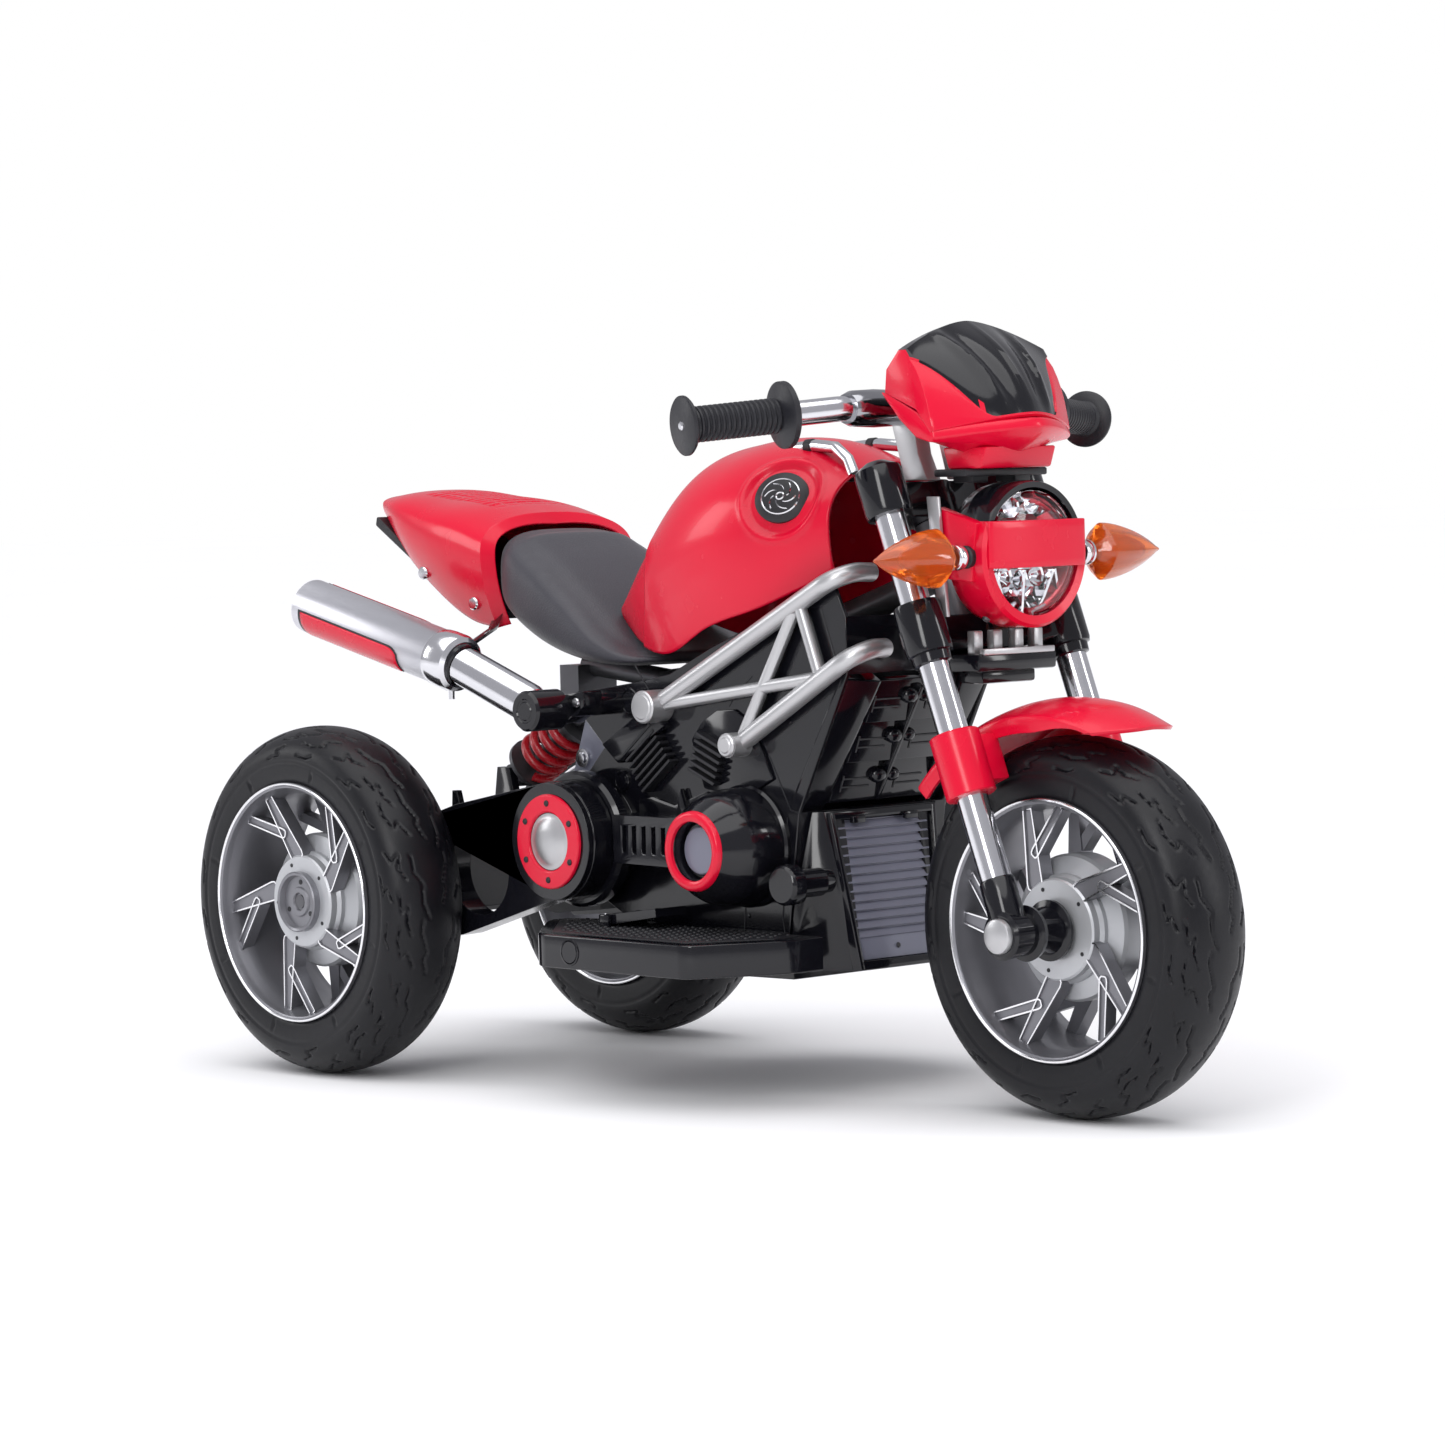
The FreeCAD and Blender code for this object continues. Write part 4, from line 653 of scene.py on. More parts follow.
TAIL_X = (-433, -401, -341, -281, -250)
tail_low = curve_through(TAIL_X, (474, 452, 414, 386, 381))
tail_half = curve_through(TAIL_X, (50, 66, 80, 86, 88))
tail_high = curve_through(TAIL_X, (497, 500, 495, 488, 479))


def tail():
    """The seat cowl: a tapering hood with a rolled rim round the seat and vents on top."""
    def shape(u, v):
        s = 2 * v - 1
        side, s = (-1 if s < 0 else 1), abs(s)
        x = TAIL_X[0] + (TAIL_X[-1] - TAIL_X[0]) * min(1, u / 0.9)
        low, half, high = tail_low(x), tail_half(x), tail_high(x)
        widest = low + (high - low) * 0.6
        if s < 0.66:
            angle = s / 0.66 * math.pi / 2
            y = half * math.sin(angle) ** 0.9
            z = widest + (high - widest) * math.cos(angle) ** 0.7
        else:
            k = (s - 0.66) / 0.34
            y = half * (1 - 0.16 * k * k)
            z = widest - (widest - low) * k
        x += -14 * (1 - s) * u
        if u > 0.9:
            k = (u - 0.9) / 0.1
            y *= 1 - 0.13 * k
            z = z - 10 * k * (1 - s) + 3 * k * s
            x += 7 * k
        return Vector((x, side * y, z))

    bm = surface(130, 130, shape, (-330, 0, 440))
    bm.normal_update()
    for vert in list(bm.verts):
        x, y, z = vert.co
        if vert.normal.z > 0.75:
            rows = abs((x / 8.5) % 1 - 0.5)
            columns = abs((abs(y) / 15) % 1 - 0.5)
            zone = eased(-385, -375, x) * (1 - eased(-292, -282, x)) * (1 - eased(40, 46, abs(y)))
            slot = (1 - eased(0.12, 0.3, rows)) * (1 - eased(0.28, 0.4, columns))
            vert.co -= vert.normal * 1.6 * zone * slot
    piece("tail_hood", bm, RED, "frame", ["tail_cowl"], smooth=40, thick=3)
    under = side_plate([(-430, 470), (-398, 450), (-340, 414), (-282, 388), (-262, 388), (-262, 396),
                        (-340, 424), (-398, 458), (-428, 478)], -62, 62)
    piece("tail_liner", under, DARK, "frame", bevel=1.5)
    screws = [turned([(0, 1.5), (4.4, 1.3), (5.6, 0), (5.6, -3)], 32, aimed(spot, (0.1, -1, 0)))
              for spot in ((-272, -82.5, 402), (-350, -74, 428))]
    piece("tail_screws", both_sides(joined(*screws)), CHROME, "frame")


# ---------------------------------------------------------------- carried-over hard parts
def softened(node, body, slot, width, smooth=35, finishes=None, steps=2, name=None):
    """A node's own shape with its edges rounded."""
    return piece(name or node + "_finished", cad_copy(node), finishes or BY_SLOT[slot], body, [node],
                 smooth=smooth, bevel=width, bevel_steps=steps, slot=slot)


def hard_parts():
    for node, body, slot, width in (
            ("fork_clamps", "steering", "black_gloss", 1.6), ("handlebar", "steering", "chrome", 0.6),
            ("body_shell_right", "frame", "black_gloss", 2.0),
            ("body_shell_left", "frame", "black_gloss", 2.0),
            ("trellis_tubes", "frame", "silver_satin", 0.6), ("cylinder_fins", "frame", "dark_matt", 0.5),
            ("belt_guards", "frame", "black_gloss", 1.5),
            ("accelerator_pedal", "pedal", "black_gloss", 1.0), ("swingarms", "swingarm", "black_gloss", 2.5),
            ("arm_rings", "swingarm", "red_gloss", 0.8), ("axle_housing", "swingarm", "black_gloss", 1.5)):
        softened(node, body, slot, width)


# ---------------------------------------------------------------- cowl, screen and lamp
VISOR = Vector((LAMP.x, 0, LAMP.z + 64))
VISOR_HALF = 78.0


def screen_edge(a):
    """How far up the visor its dark screen begins, a from 0 in the middle to 1 at the side."""
    return 0.02 + 0.93 * float(eased(0.42, 1.12, a)) ** 0.9


def visor_ring(k, centre_line, side_line, powers):
    """One section of the visor, k from -1 to 1 across; each corner leaves the centre line at its own rate."""
    a = abs(k)
    return [Vector((VISOR.x + x0 + (x1 - x0) * a ** px, VISOR_HALF * k, VISOR.z + z0 + (z1 - z0) * a ** pz))
            for (x0, z0), (x1, z1), (px, pz) in zip(centre_line, side_line, powers)]


def visor():
    """Red visor with tall cheeks and a dark ribbed screen that narrows to the nose."""
    rows = [k / 24 for k in range(-24, 25)]
    cowl_middle = [(-86, 22), (-60, 12), (-24, 8), (2, 22), (15, 35), (12, 42), (-20, 43), (-84, 46)]
    cowl_side = [(-86, 66), (-66, 44), (-48, 29), (-33, 24), (-28, 27), (-30, 33), (-48, 49), (-78, 64)]
    cowl_powers = [(2, 1.6), (2, 1.5), (1.6, 1.4), (1.5, 1.3), (1.5, 1.5), (1.5, 1.5), (1.5, 1.4), (2, 1.5)]
    shape = rounded(skin([visor_ring(k, cowl_middle, cowl_side, cowl_powers) for k in rows]), 1.8, 3, 24)
    piece("visor_cowl", shape, RED, "steering", ["front_cowl"], smooth=50)
    low_steps, high_steps = 6, 12
    steps = low_steps + high_steps
    outwards = Vector((0.75, 0, 0.65))
    rings = []
    for k in rows:
        a = abs(k)
        border = screen_edge(a)
        centre_line, side_line = [(-84, 47), (-30, 44), (6, 42.5)], [(-80, 64), (-46, 50), (-31, 31.5)]
        for step in range(steps + 1):
            above = (step - low_steps) / high_steps
            t = border * step / low_steps if step <= low_steps else border + (1 - border) * above
            swell = math.sin(math.pi * t)
            centre_line.append((8 - 73 * t + 7 * swell, 45 + 75 * t + 7 * swell))
            side_line.append((-29 - 27 * t + 4 * swell, 33 + 64 * t + 3 * swell))
        centre_line += [(-72, 118), (-82, 80)]
        side_line += [(-64, 97), (-78, 82)]
        ring = visor_ring(k, centre_line, side_line, [(1.6, 1.6)] * len(centre_line))
        for step in range(low_steps, steps + 1):
            along = (step - low_steps) / high_steps
            fan = 0.3 + 0.22 * along
            crest = math.exp(-((a - fan) / 0.05) ** 2) + 0.35 * math.exp(-(k / 0.025) ** 2)
            hollow = math.exp(-((a - fan + 0.13) / 0.08) ** 2)
            fade = math.sin(math.pi * along ** 0.8) ** 0.6
            ring[3 + step] += outwards * (3.6 * crest - 2.0 * hollow) * fade
            ring[3 + step] -= outwards * 1.4 * (along == 0)
        rings.append(ring)
    whole = skin(rings)
    for face in whole.faces:
        spot = face.calc_center_median()
        if len(face.verts) > 4:
            face.material_index = 1
            continue
        a = min(1, abs(spot.y) / VISOR_HALF)
        border = screen_edge(a)
        swell = math.sin(math.pi * border)
        blend = a ** 1.6
        centre_z, side_z = 45 + 75 * border + 7 * swell, 33 + 64 * border + 3 * swell
        edge_z = VISOR.z + centre_z * (1 - blend) + side_z * blend
        if face.normal.x > 0.1 and spot.z < edge_z - 0.4 * (1 - a) or spot.z < VISOR.z + 52 and a > 0.5:
            face.material_index = 1
    piece("visor_screen", rounded(whole, 1.0, 2, 55), [BLACK, RED], "steering", ["wind_screen"],
          smooth=42)
    feet = [block((VISOR.x - 52, y - 9, VISOR.z - 8), (VISOR.x - 30, y + 9, VISOR.z + 20)) for y in (-24, 24)]
    feet.append(block((VISOR.x - 60, -46, VISOR.z - 3), (VISOR.x - 24, 46, VISOR.z + 3)))
    piece("visor_mounts", rounded(joined(*feet), 1.5), DARK, "steering")
    lip = side_plate([(VISOR.x - 56, VISOR.z + 20), (VISOR.x - 8, VISOR.z + 20), (VISOR.x - 14, VISOR.z + 3),
                      (VISOR.x - 50, VISOR.z + 3)], -40, 40)
    piece("visor_chin", rounded(lip, 2), RED, "steering")


def facing_lamp():
    """Local +Z points forward out of the lamp."""
    return aimed(LAMP, (1, 0, 0))


def headlight():
    split = 26.0
    outer = LAMP_RADIUS
    rim = [(outer - 9, 2), (outer - 9.5, 5), (outer - 2.5, 6), (outer, 3), (outer, -24), (outer * 0.93, -38),
           (outer * 0.72, -49), (outer * 0.4, -53), (0, -54), (0, -51), (outer * 0.4, -50),
           (outer * 0.7, -45), (outer - 9, -30), (outer - 9, 2)]
    case_rim = [(outer - 7, 0), (outer - 7, 3.5), (outer - 2.5, 4), (outer - 1.5, 1),
                (outer - 1.5, -24)] + rim[5:12] + [
        (outer - 7, -30), (outer - 7, 0)]
    for name, profile, keep, paint_with, slot, node in (
            ("lamp_case", case_rim, 1, BLACK, "black_gloss", "headlight_case"),
            ("lamp_bowl", rim, -1, RED, "red_gloss", "headlight_bowl")):
        bm = turned(profile, 96, facing_lamp())
        bmesh.ops.bisect_plane(bm, geom=bm.verts[:] + bm.edges[:] + bm.faces[:],
                               plane_co=(0, 0, LAMP.z + split), plane_no=(0, 0, -keep), clear_outer=True)
        bmesh.ops.holes_fill(bm, edges=[edge for edge in bm.edges if edge.is_boundary], sides=0)
        piece(name, bm, paint_with, "steering", [node], smooth=38, slot=slot)
    dome = turned([(outer - 9.5, -2), (outer - 9.5, 2), (outer - 14, 5.5), (outer * 0.6, 8.2),
                   (outer * 0.3, 9.6), (0, 10), (0, 8), (outer * 0.3, 7.6), (outer * 0.6, 6.2),
                   (outer - 15, 3.5), (outer - 12, -2), (outer - 9.5, -2)], 72, facing_lamp())
    piece("lamp_lens", dome, CLEAR, "steering", ["headlight_lens"], smooth=60)
    shade = turned([(outer - 10, -1), (outer - 14, -5), (outer * 0.62, -17), (outer * 0.3, -25), (0, -27),
                    (0, -29), (outer * 0.32, -27.5), (outer * 0.66, -19), (outer - 10, -4), (outer - 10, -1)],
                   22, facing_lamp())
    # The lower side patches of the reflector take the red: painted reflection.
    for face in shade.faces:
        centre = face.calc_center_median() - LAMP
        if abs(centre.y) > 18 and centre.z < 8 and abs(centre.z) > 6:
            face.material_index = 1
    piece("lamp_reflector", shade, [MIRROR, RED_REFLECTION_PAINT], "steering", ["headlight_reflector"], smooth=8)
    cups = []
    for y, z in ((-22, -18), (-4, -21), (14, -18), (-13, 37), (10, 39)):
        cups.append(turned([(0, -2), (3, -1.5), (7.5, 6), (9, 7), (9, -6)], 10,
                           aimed(LAMP + Vector((-16, y, z)), (1, 0, 0))))
    for y, turn in ((-30, 24), (-6, -8), (20, -30), (34, 12)):
        rib = block((-6, -1.2, -17), (7, 1.2, 17))
        lean = Matrix.Rotation(math.radians(turn), 4, "X")
        cups.append(put(rib, Matrix.Translation(LAMP + Vector((-11, y, -30))) @ lean))
    piece("lamp_bulb_cups", joined(*cups), MIRROR, "steering", smooth=12)
    low, high = LAMP.z - 11, LAMP.z + split
    bar = bmesh.new()
    bmesh.ops.create_grid(bar, x_segments=24, y_segments=6, size=0.5)
    for vert in bar.verts:
        y = vert.co.x * 2 * (outer - 4)
        vert.co = Vector((LAMP.x + 12.5 - 5.5 * (y / outer) ** 2, y, low + (high - low) * (vert.co.y + 0.5)))
    if sum(face.normal.x for face in bar.faces) < 0:
        bmesh.ops.reverse_faces(bar, faces=bar.faces)
    piece("lamp_crossbar", bar, RED, "steering", smooth=30, thick=9, bevel=1.2)
    wing = side_plate([(LAMP.x - 2, high - 1), (LAMP.x - 46, high + 12), (LAMP.x - 50, high - 14),
                       (LAMP.x - 34, low - 8), (LAMP.x - 8, low - 10)], -outer - 1, -outer + 10)
    piece("lamp_side_wings", both_sides(rounded(wing, 1.5)), RED, "steering")
    ear = side_plate([(LAMP.x - 40, LAMP.z - 48), (LAMP.x - 30, LAMP.z - 48), (LAMP.x - 38, LAMP.z + 46),
                      (LAMP.x - 50, LAMP.z + 46)], -FORK_HALF + 13, -FORK_HALF + 17)
    piece("lamp_ears", both_sides(rounded(ear, 0.8)), SATIN, "steering")
    screws = [turned([(0, 1), (2.5, 0.8), (3.2, 0), (3.2, -1)], 20,
                     aimed(LAMP + Vector((-14, y, z)), (0, y, z))) for y, z in ((-38, -51), (38, -51))]
    piece("lamp_screws", joined(*screws), STEEL, "steering")
    tray = [block((LAMP.x - 62, -44, LAMP.z - 92), (LAMP.x - 16, 44, LAMP.z - 78)),
            block((LAMP.x - 52, -30, LAMP.z - 102), (LAMP.x - 26, 30, LAMP.z - 91))]
    piece("lamp_tray", rounded(joined(*tray), 2.5), BLACK, "steering")
    clips = [block((LAMP.x - 34, y - 5, LAMP.z - 79), (LAMP.x - 26, y + 5, LAMP.z - 60))
             for y in (-34, -12, 12, 34)]
    clips.append(block((LAMP.x - 20, -40, LAMP.z - 79), (LAMP.x - 14, 40, LAMP.z - 74)))
    piece("lamp_tray_clips", rounded(joined(*clips), 1.0), SATIN, "steering")


def signals():
    low, high = span("signal_lenses")
    centre = Vector(((low.x + high.x) / 2, 0, (low.z + high.z) / 2))
    root, tip = 82.0, high.y
    rings = []
    for step in range(25):
        t = step / 24
        y = root + (tip - root) * t
        reach = 23 * (eased(-0.02, 0.13, t) * 0.72 + 0.28) * (1 - max(0, (t - 0.14) / 0.86) ** 1.7) ** 0.85
        reach = max(reach, 1.2)
        ring = []
        for part in range(48):
            angle = 2 * math.pi * part / 48
            ridge = 0.88 + 0.12 * abs(math.cos(2 * angle)) ** 6
            ring.append(centre + Vector((reach * 0.86 * ridge * math.cos(angle), -y,
                                         reach * ridge * math.sin(angle))))
        rings.append(ring)
    piece("signal_shades", both_sides(skin(rings)), AMBER, "steering", ["signal_lenses"], smooth=25)
    core = turned([(0, 0), (7, 0), (9, 14), (8, 30), (4, 44), (0, 50)], 20,
                  aimed(centre + Vector((0, -root - 5, 0)), (0, -1, 0)))
    piece("signal_cores", both_sides(core), AMBER_CORE, "steering", smooth=25)
    stem = turned([(0, 0), (9, 0), (9, 5), (7.6, 6), (7.6, 9), (9.6, 10), (10.4, 13), (9.6, 16), (8.4, 17),
                   (10, 18), (10, 20), (0, 20)], 40, aimed(centre + Vector((0, -LAMP_RADIUS + 1, 0)),
                                                           (0, -1, 0)))
    for face in stem.faces:
        if face.calc_center_median().y < -LAMP_RADIUS - 8.5:
            face.material_index = 1
    piece("signal_stalks", both_sides(stem), [DARK, CHROME], "steering", ["signal_stems"], smooth=30,
          slot="bright_stem")


# ---------------------------------------------------------------- bars, fork and fender
def handlebars():
    high = span("handlebar")[1]
    centre = Vector((high.x - 10, 0, high.z - 10))
    bend, start, end = 97.0, 141.0, high.y
    sweep, drop = 40.0, 11.0
    slope = Vector((-sweep, -(end - bend), -drop)).normalized()
    root = centre + Vector((0, -bend, 0)) + slope * ((start - bend) / -slope.y)
    length = (end - start) / -slope.y
    profile = [(10.1, 0), (24, 0), (26.5, 1.5), (26.5, 6), (24, 7.5), (16, 9)]
    ribs = 16
    first, pitch = 11.0, (length - 21) / ribs
    for rib in range(ribs):
        z = first + pitch * rib
        profile += [(12.6, z), (13.2, z + pitch * 0.2), (14.2, z + pitch * 0.35), (14.2, z + pitch * 0.7),
                    (13.2, z + pitch * 0.85)]
    profile += [(13, length - 9), (15, length - 6), (22, length - 4.5), (23.5, length - 3),
                (23.5, length - 1.2), (22, length), (0, length)]
    grip = turned(profile, 72, aimed(root, slope))
    piece("rubber_grips", both_sides(grip), GRIP, "steering", ["grips"], smooth=40)
    screw = turned([(0, 2.2), (2.5, 2), (3.6, 1), (3.8, -0.5)], 24, aimed(root + slope * length, slope))
    piece("grip_end_screws", both_sides(screw), CHROME, "steering")
    sleeve = turned([(10.2, -90), (13, -90), (15.5, -84), (16.5, -60), (15.5, -34), (14.5, -20), (14.5, 20),
                     (15.5, 34), (16.5, 60), (15.5, 84), (13, 90), (10.2, 90)], 48,
                    Matrix.Translation(centre) @ TO_Y @ Matrix.Diagonal((1, 0.92, 1, 1)))
    pegs = [turned([(0, 0.8), (2, 0.6), (2.4, 0)], 16, aimed(centre + Vector((8, y, 11.5)), (0.6, 0, 0.8)))
            for y in (-60, 60)]
    piece("bar_sleeve", joined(sleeve, paint(joined(*pegs), 1)), [DARK_CHROME, DARK], "steering")
    foot = span("bar_mounts")[0].z
    risers = []
    for y in (-24, 24):
        risers.append(side_plate([(centre.x - 13, centre.z), (centre.x + 13, centre.z),
                                  (centre.x + 20, foot + 22), (centre.x + 30, foot + 1),
                                  (centre.x + 4, foot + 1)], y - 8, y + 8))
    piece("bar_risers", rounded(joined(*risers), 1.4), SATIN, "steering", ["bar_mounts"])


def fork():
    legs = []
    for side in (-1, 1):
        place = on_leg(side)
        legs.append(turned([(0, 44), (12.4, 44), (12.4, 383), (11, 384), (0, 384)], 56, place))
    piece("fork_legs", joined(*legs), CHROME, "steering", ["fork_tubes"], smooth=30)
    caps = []
    for side in (-1, 1):
        place = on_leg(side)
        caps.append(turned([(0, 390), (9, 390), (14, 387), (18.5, 384), (19.2, 380), (19.2, 349), (18, 345.5),
                            (12.6, 345)], 48, place))
        caps.append(turned([(12.6, 272), (18.4, 271), (19.2, 268), (19.2, 233), (18.4, 230), (16, 229),
                            (15.5, 222), (12.6, 221)], 48, place))
    piece("fork_collars", joined(*caps), BLACK, "steering", smooth=30)
    feet = []
    for side in (-1, 1):
        place = on_leg(side)
        feet.append(turned([(0, -2), (12, -2), (15, 2), (14.4, 20), (14, 43), (13, 45), (12, 45)], 40, place))
        outward_to = Matrix.Rotation(math.radians(-90 * side), 4, "X")
        feet.append(turned([(6.2, -45), (22, -45), (24, -43), (24, -40), (19, -38), (16, -30), (16, -22),
                            (21, -18), (22, -14), (17, -12), (18, 2), (19, 12), (16, 14), (6.2, 14)], 48,
                           on_leg(side) @ outward_to))
    piece("fork_feet_cast", joined(*feet), BLACK, "steering", ["fork_feet"], smooth=32)
    nuts = []
    for side in (-1, 1):
        outward_to = Matrix.Rotation(math.radians(-90 * side), 4, "X")
        nuts.append(turned([(0, 19.5), (11, 19.3), (13.2, 18), (13.8, 16), (13.8, 12), (5.9, 11), (5.9, -60),
                            (0, -60)],
                           40, on_leg(side) @ outward_to))
    piece("front_axle_nuts", joined(*nuts), SATIN, "steering", ["front_axle"], smooth=30)


def fender():
    """A crowned mudguard with a pointed front lip, webs and sleeves to the fork legs."""
    def shape(u, v):
        k = 2 * u - 1
        a = abs(k)
        start, stop = 63 + 9 * a ** 2.2, 140 - 7 * (1 - a) ** 2
        angle = math.radians(start + (stop - start) * v)
        flare = eased(0.0, 0.22, v)
        crown, tuck = 15.5 * (1 - a ** 1.7), 10 * eased(0.86, 1.0, a) * eased(0.02, 0.3, v)
        reach = 164 + crown - tuck - 1.5 * (1 - flare)
        y = 50.3 * math.copysign(min(1, a * 1.12) ** 0.95, k) if a < 0.9 else 50.3 * math.copysign(1, k)
        y *= 0.93 + 0.07 * flare
        return Vector((FRONT.x + reach * math.cos(angle), y, FRONT.z + reach * math.sin(angle)))

    strip = surface(60, 90, shape, FRONT)
    piece("mudguard", strip, RED, "steering", ["front_fender"], smooth=50, thick=3.2, bevel=0.6)
    sleeves = []
    for side in (-1, 1):
        place = on_leg(side)
        sleeves.append(turned([(12.6, 113), (19, 113), (20, 114), (20, 163), (19, 164), (12.6, 164)], 56,
                              place))
        web = block((-15, min(side * 46, side * 78), 121), (15, max(side * 46, side * 78), 159))
        sleeves.append(put(rounded(web, 2), ON_FORK))
    piece("mudguard_sleeves", joined(*sleeves), RED, "steering", smooth=30)
    rivets = [turned([(0, 1.4), (2.4, 1), (3, 0)], 20,
                     Matrix.Translation((FRONT.x + 172 * math.cos(a), y, FRONT.z + 172 * math.sin(a)))
                     @ aimed((0, 0, 0), (math.cos(a), 0.3 * y / 24, math.sin(a))))
              for a, y in ((math.radians(88), -24), (math.radians(88), 24))]
    piece("mudguard_rivets", joined(*rivets), RED, "steering")


# ---------------------------------------------------------------- engine, front and frame
def clutch_covers():
    low, high = span("clutch_covers")
    centre = Vector(((low.x + high.x) / 2, -SHELL_HALF, (low.z + high.z) / 2))
    place = aimed(centre, (0, -1, 0))
    dome = turned([(49.5, 0), (50, 4), (48, 6), (48, 20), (47, 30), (44.5, 40), (40, 49), (35, 56), (33, 59),
                   (31.5, 61.5), (24, 61.8), (23, 60), (22.5, 50), (21, 49), (0, 49)], 96, place)
    piece("clutch_domes", both_sides(dome), BLACK, "frame", ["clutch_covers"], smooth=40)
    ring = turned([(23.6, 60), (24.4, 64), (26.5, 65), (30, 65), (32, 63.6), (32.6, 60)], 96, place)
    piece("clutch_rings", both_sides(ring), RED, "frame", ["cover_rings"], smooth=50)
    disc = turned([(0, 54.5), (18.4, 54.3), (19.4, 53.5), (19.8, 50)], 72, place)
    piece("clutch_discs", both_sides(disc), GRILLE, "frame", ["cover_discs"], smooth=30)


def arm_trim():
    """Screws round each red ring and the dished cap inside it."""
    face = span("arm_rings")[0].y
    screws = []
    for index in range(6):
        angle = math.radians(60 * index + 30)
        spot = Vector((PIVOT.x + 32 * math.cos(angle), face, PIVOT.z + 32 * math.sin(angle)))
        screws.append(turned([(0, 1.4), (1.8, 1.4), (2.6, 0.6), (2.8, -1)], 20, aimed(spot, (0, -1, 0))))
    piece("arm_ring_screws", both_sides(joined(*screws)), DARK, "swingarm")
    cap = turned([(0, 5.2), (8, 5), (15, 3.6), (19, 1.4), (20.5, 0.6), (23.6, 0.6), (24, -2)], 64,
                 sideways(PIVOT.x, face + 3, PIVOT.z))
    piece("arm_caps", both_sides(cap), SATIN, "swingarm", ["arm_discs"], smooth=50)
    plate_ring = turned([(40, 12), (54, 12), (57, 9), (57, 0), (40, 0)], 80,
                        sideways(PIVOT.x, -99.5, PIVOT.z))
    piece("pivot_backplates", both_sides(plate_ring), BLACK, "frame", smooth=30)


def strip(points, width, low, high):
    """A flat band of the given width along a polyline of (x, z) points."""
    left, right = [], []
    count = len(points)
    for index, (x, z) in enumerate(points):
        x0, z0 = points[max(0, index - 1)]
        x1, z1 = points[min(count - 1, index + 1)]
        ahead = Vector((x1 - x0, z1 - z0)).normalized()
        left.append((x - ahead.y * width / 2, z + ahead.x * width / 2))
        right.append((x + ahead.y * width / 2, z - ahead.x * width / 2))
    return side_plate(left + right[::-1], low, high)


def engine_dress():
    wall = -SHELL_HALF
    heads = rounded(side_plate([(-97, 286), (-38, 319), (-17, 303), (-76, 270)], wall - 10, wall), 2)
    bulge = [(22, 252), (8, 292), (22, 308), (40, 317), (60, 318), (78, 308), (94, 284), (104, 262),
             (70, 246)]
    heads = joined(heads, rounded(side_plate(bulge, wall - 3, wall), 1.5),
                   rounded(side_plate([(-8, 236), (-4, 252), (1, 238), (8, 224), (-12, 224)], wall - 6, wall),
                           1.2),
                   rounded(side_plate([(-42, 243), (-15, 237), (24, 250), (40, 236), (30, 222), (-60, 222),
                                       (-60, 240)],
                                      wall - 2, wall), 1))
    piece("cylinder_heads", both_sides(heads), BLACK, "frame")
    dots = []
    for x, z, r in ((-69, 322, 11), (-81, 255, 9)):
        dots.append(turned([(0, 2), (r - 3, 2), (r - 2.4, 1.2), (r - 1.8, 2.2), (r - 0.6, 2.2), (r, 1.4),
                            (r, -2)], 48,
                           sideways(x, wall, z)))
    for x, z in ((-60, 300), (-82, 288), (-50, 296), (121, 318), (123, 309), (94, 262), (70, 150)):
        dots.append(turned([(0, 0.9), (1.4, 0.8), (1.8, 0)], 14, sideways(x, wall, z)))
    piece("shell_buttons", both_sides(joined(*dots)), BLACK, "frame", smooth=30)
    seams = [strip([(-62, 352), (-46, 332), (-40, 322)], 1.3, wall - 0.35, wall),
             strip([(98, 281), (122, 238), (131, 236)], 1.3, wall - 0.35, wall),
             strip([(66, 156), (64, 138)], 1.3, wall - 0.35, wall),
             strip([(118, 232), (110, 150), (112, 138)], 1.3, wall - 0.35, wall),
             strip([(52, 320), (60, 330), (80, 345)], 1.0, wall - 0.35, wall)]
    piece("shell_seams", both_sides(joined(*seams)), DARK, "frame")
    bracket = rounded(side_plate([(-168, 256), (-150, 304), (-126, 306), (-112, 262), (-120, 250)], -64, -58),
                      1)
    piece("rear_brackets", both_sides(bracket), GRILLE, "frame")
    screw = turned([(0, 4.5), (4.5, 4), (5, 2.2), (8, 2), (8.4, 0)], 32, sideways(-153, -64, 271))
    piece("rear_bracket_screws", both_sides(screw), CHROME, "frame")
    caps = []
    for x, z, r in ((PIVOT.x + 83, 319, 13.6), (PIVOT.x + 183, 290, 9.6)):
        caps.append(turned([(0, 3.4), (r - 4, 3.4), (r - 3, 2.6), (r - 1.2, 2.6), (r, 1.4), (r, -20)], 48,
                           sideways(x, wall - 22, z)))
    caps.append(drum(5.2, 0, 34, aimed((PIVOT.x + 250, wall - 8, 342), (1, 0, 0.137)), 32))
    piece("trellis_caps", both_sides(joined(*caps)), SATIN, "frame", smooth=30)


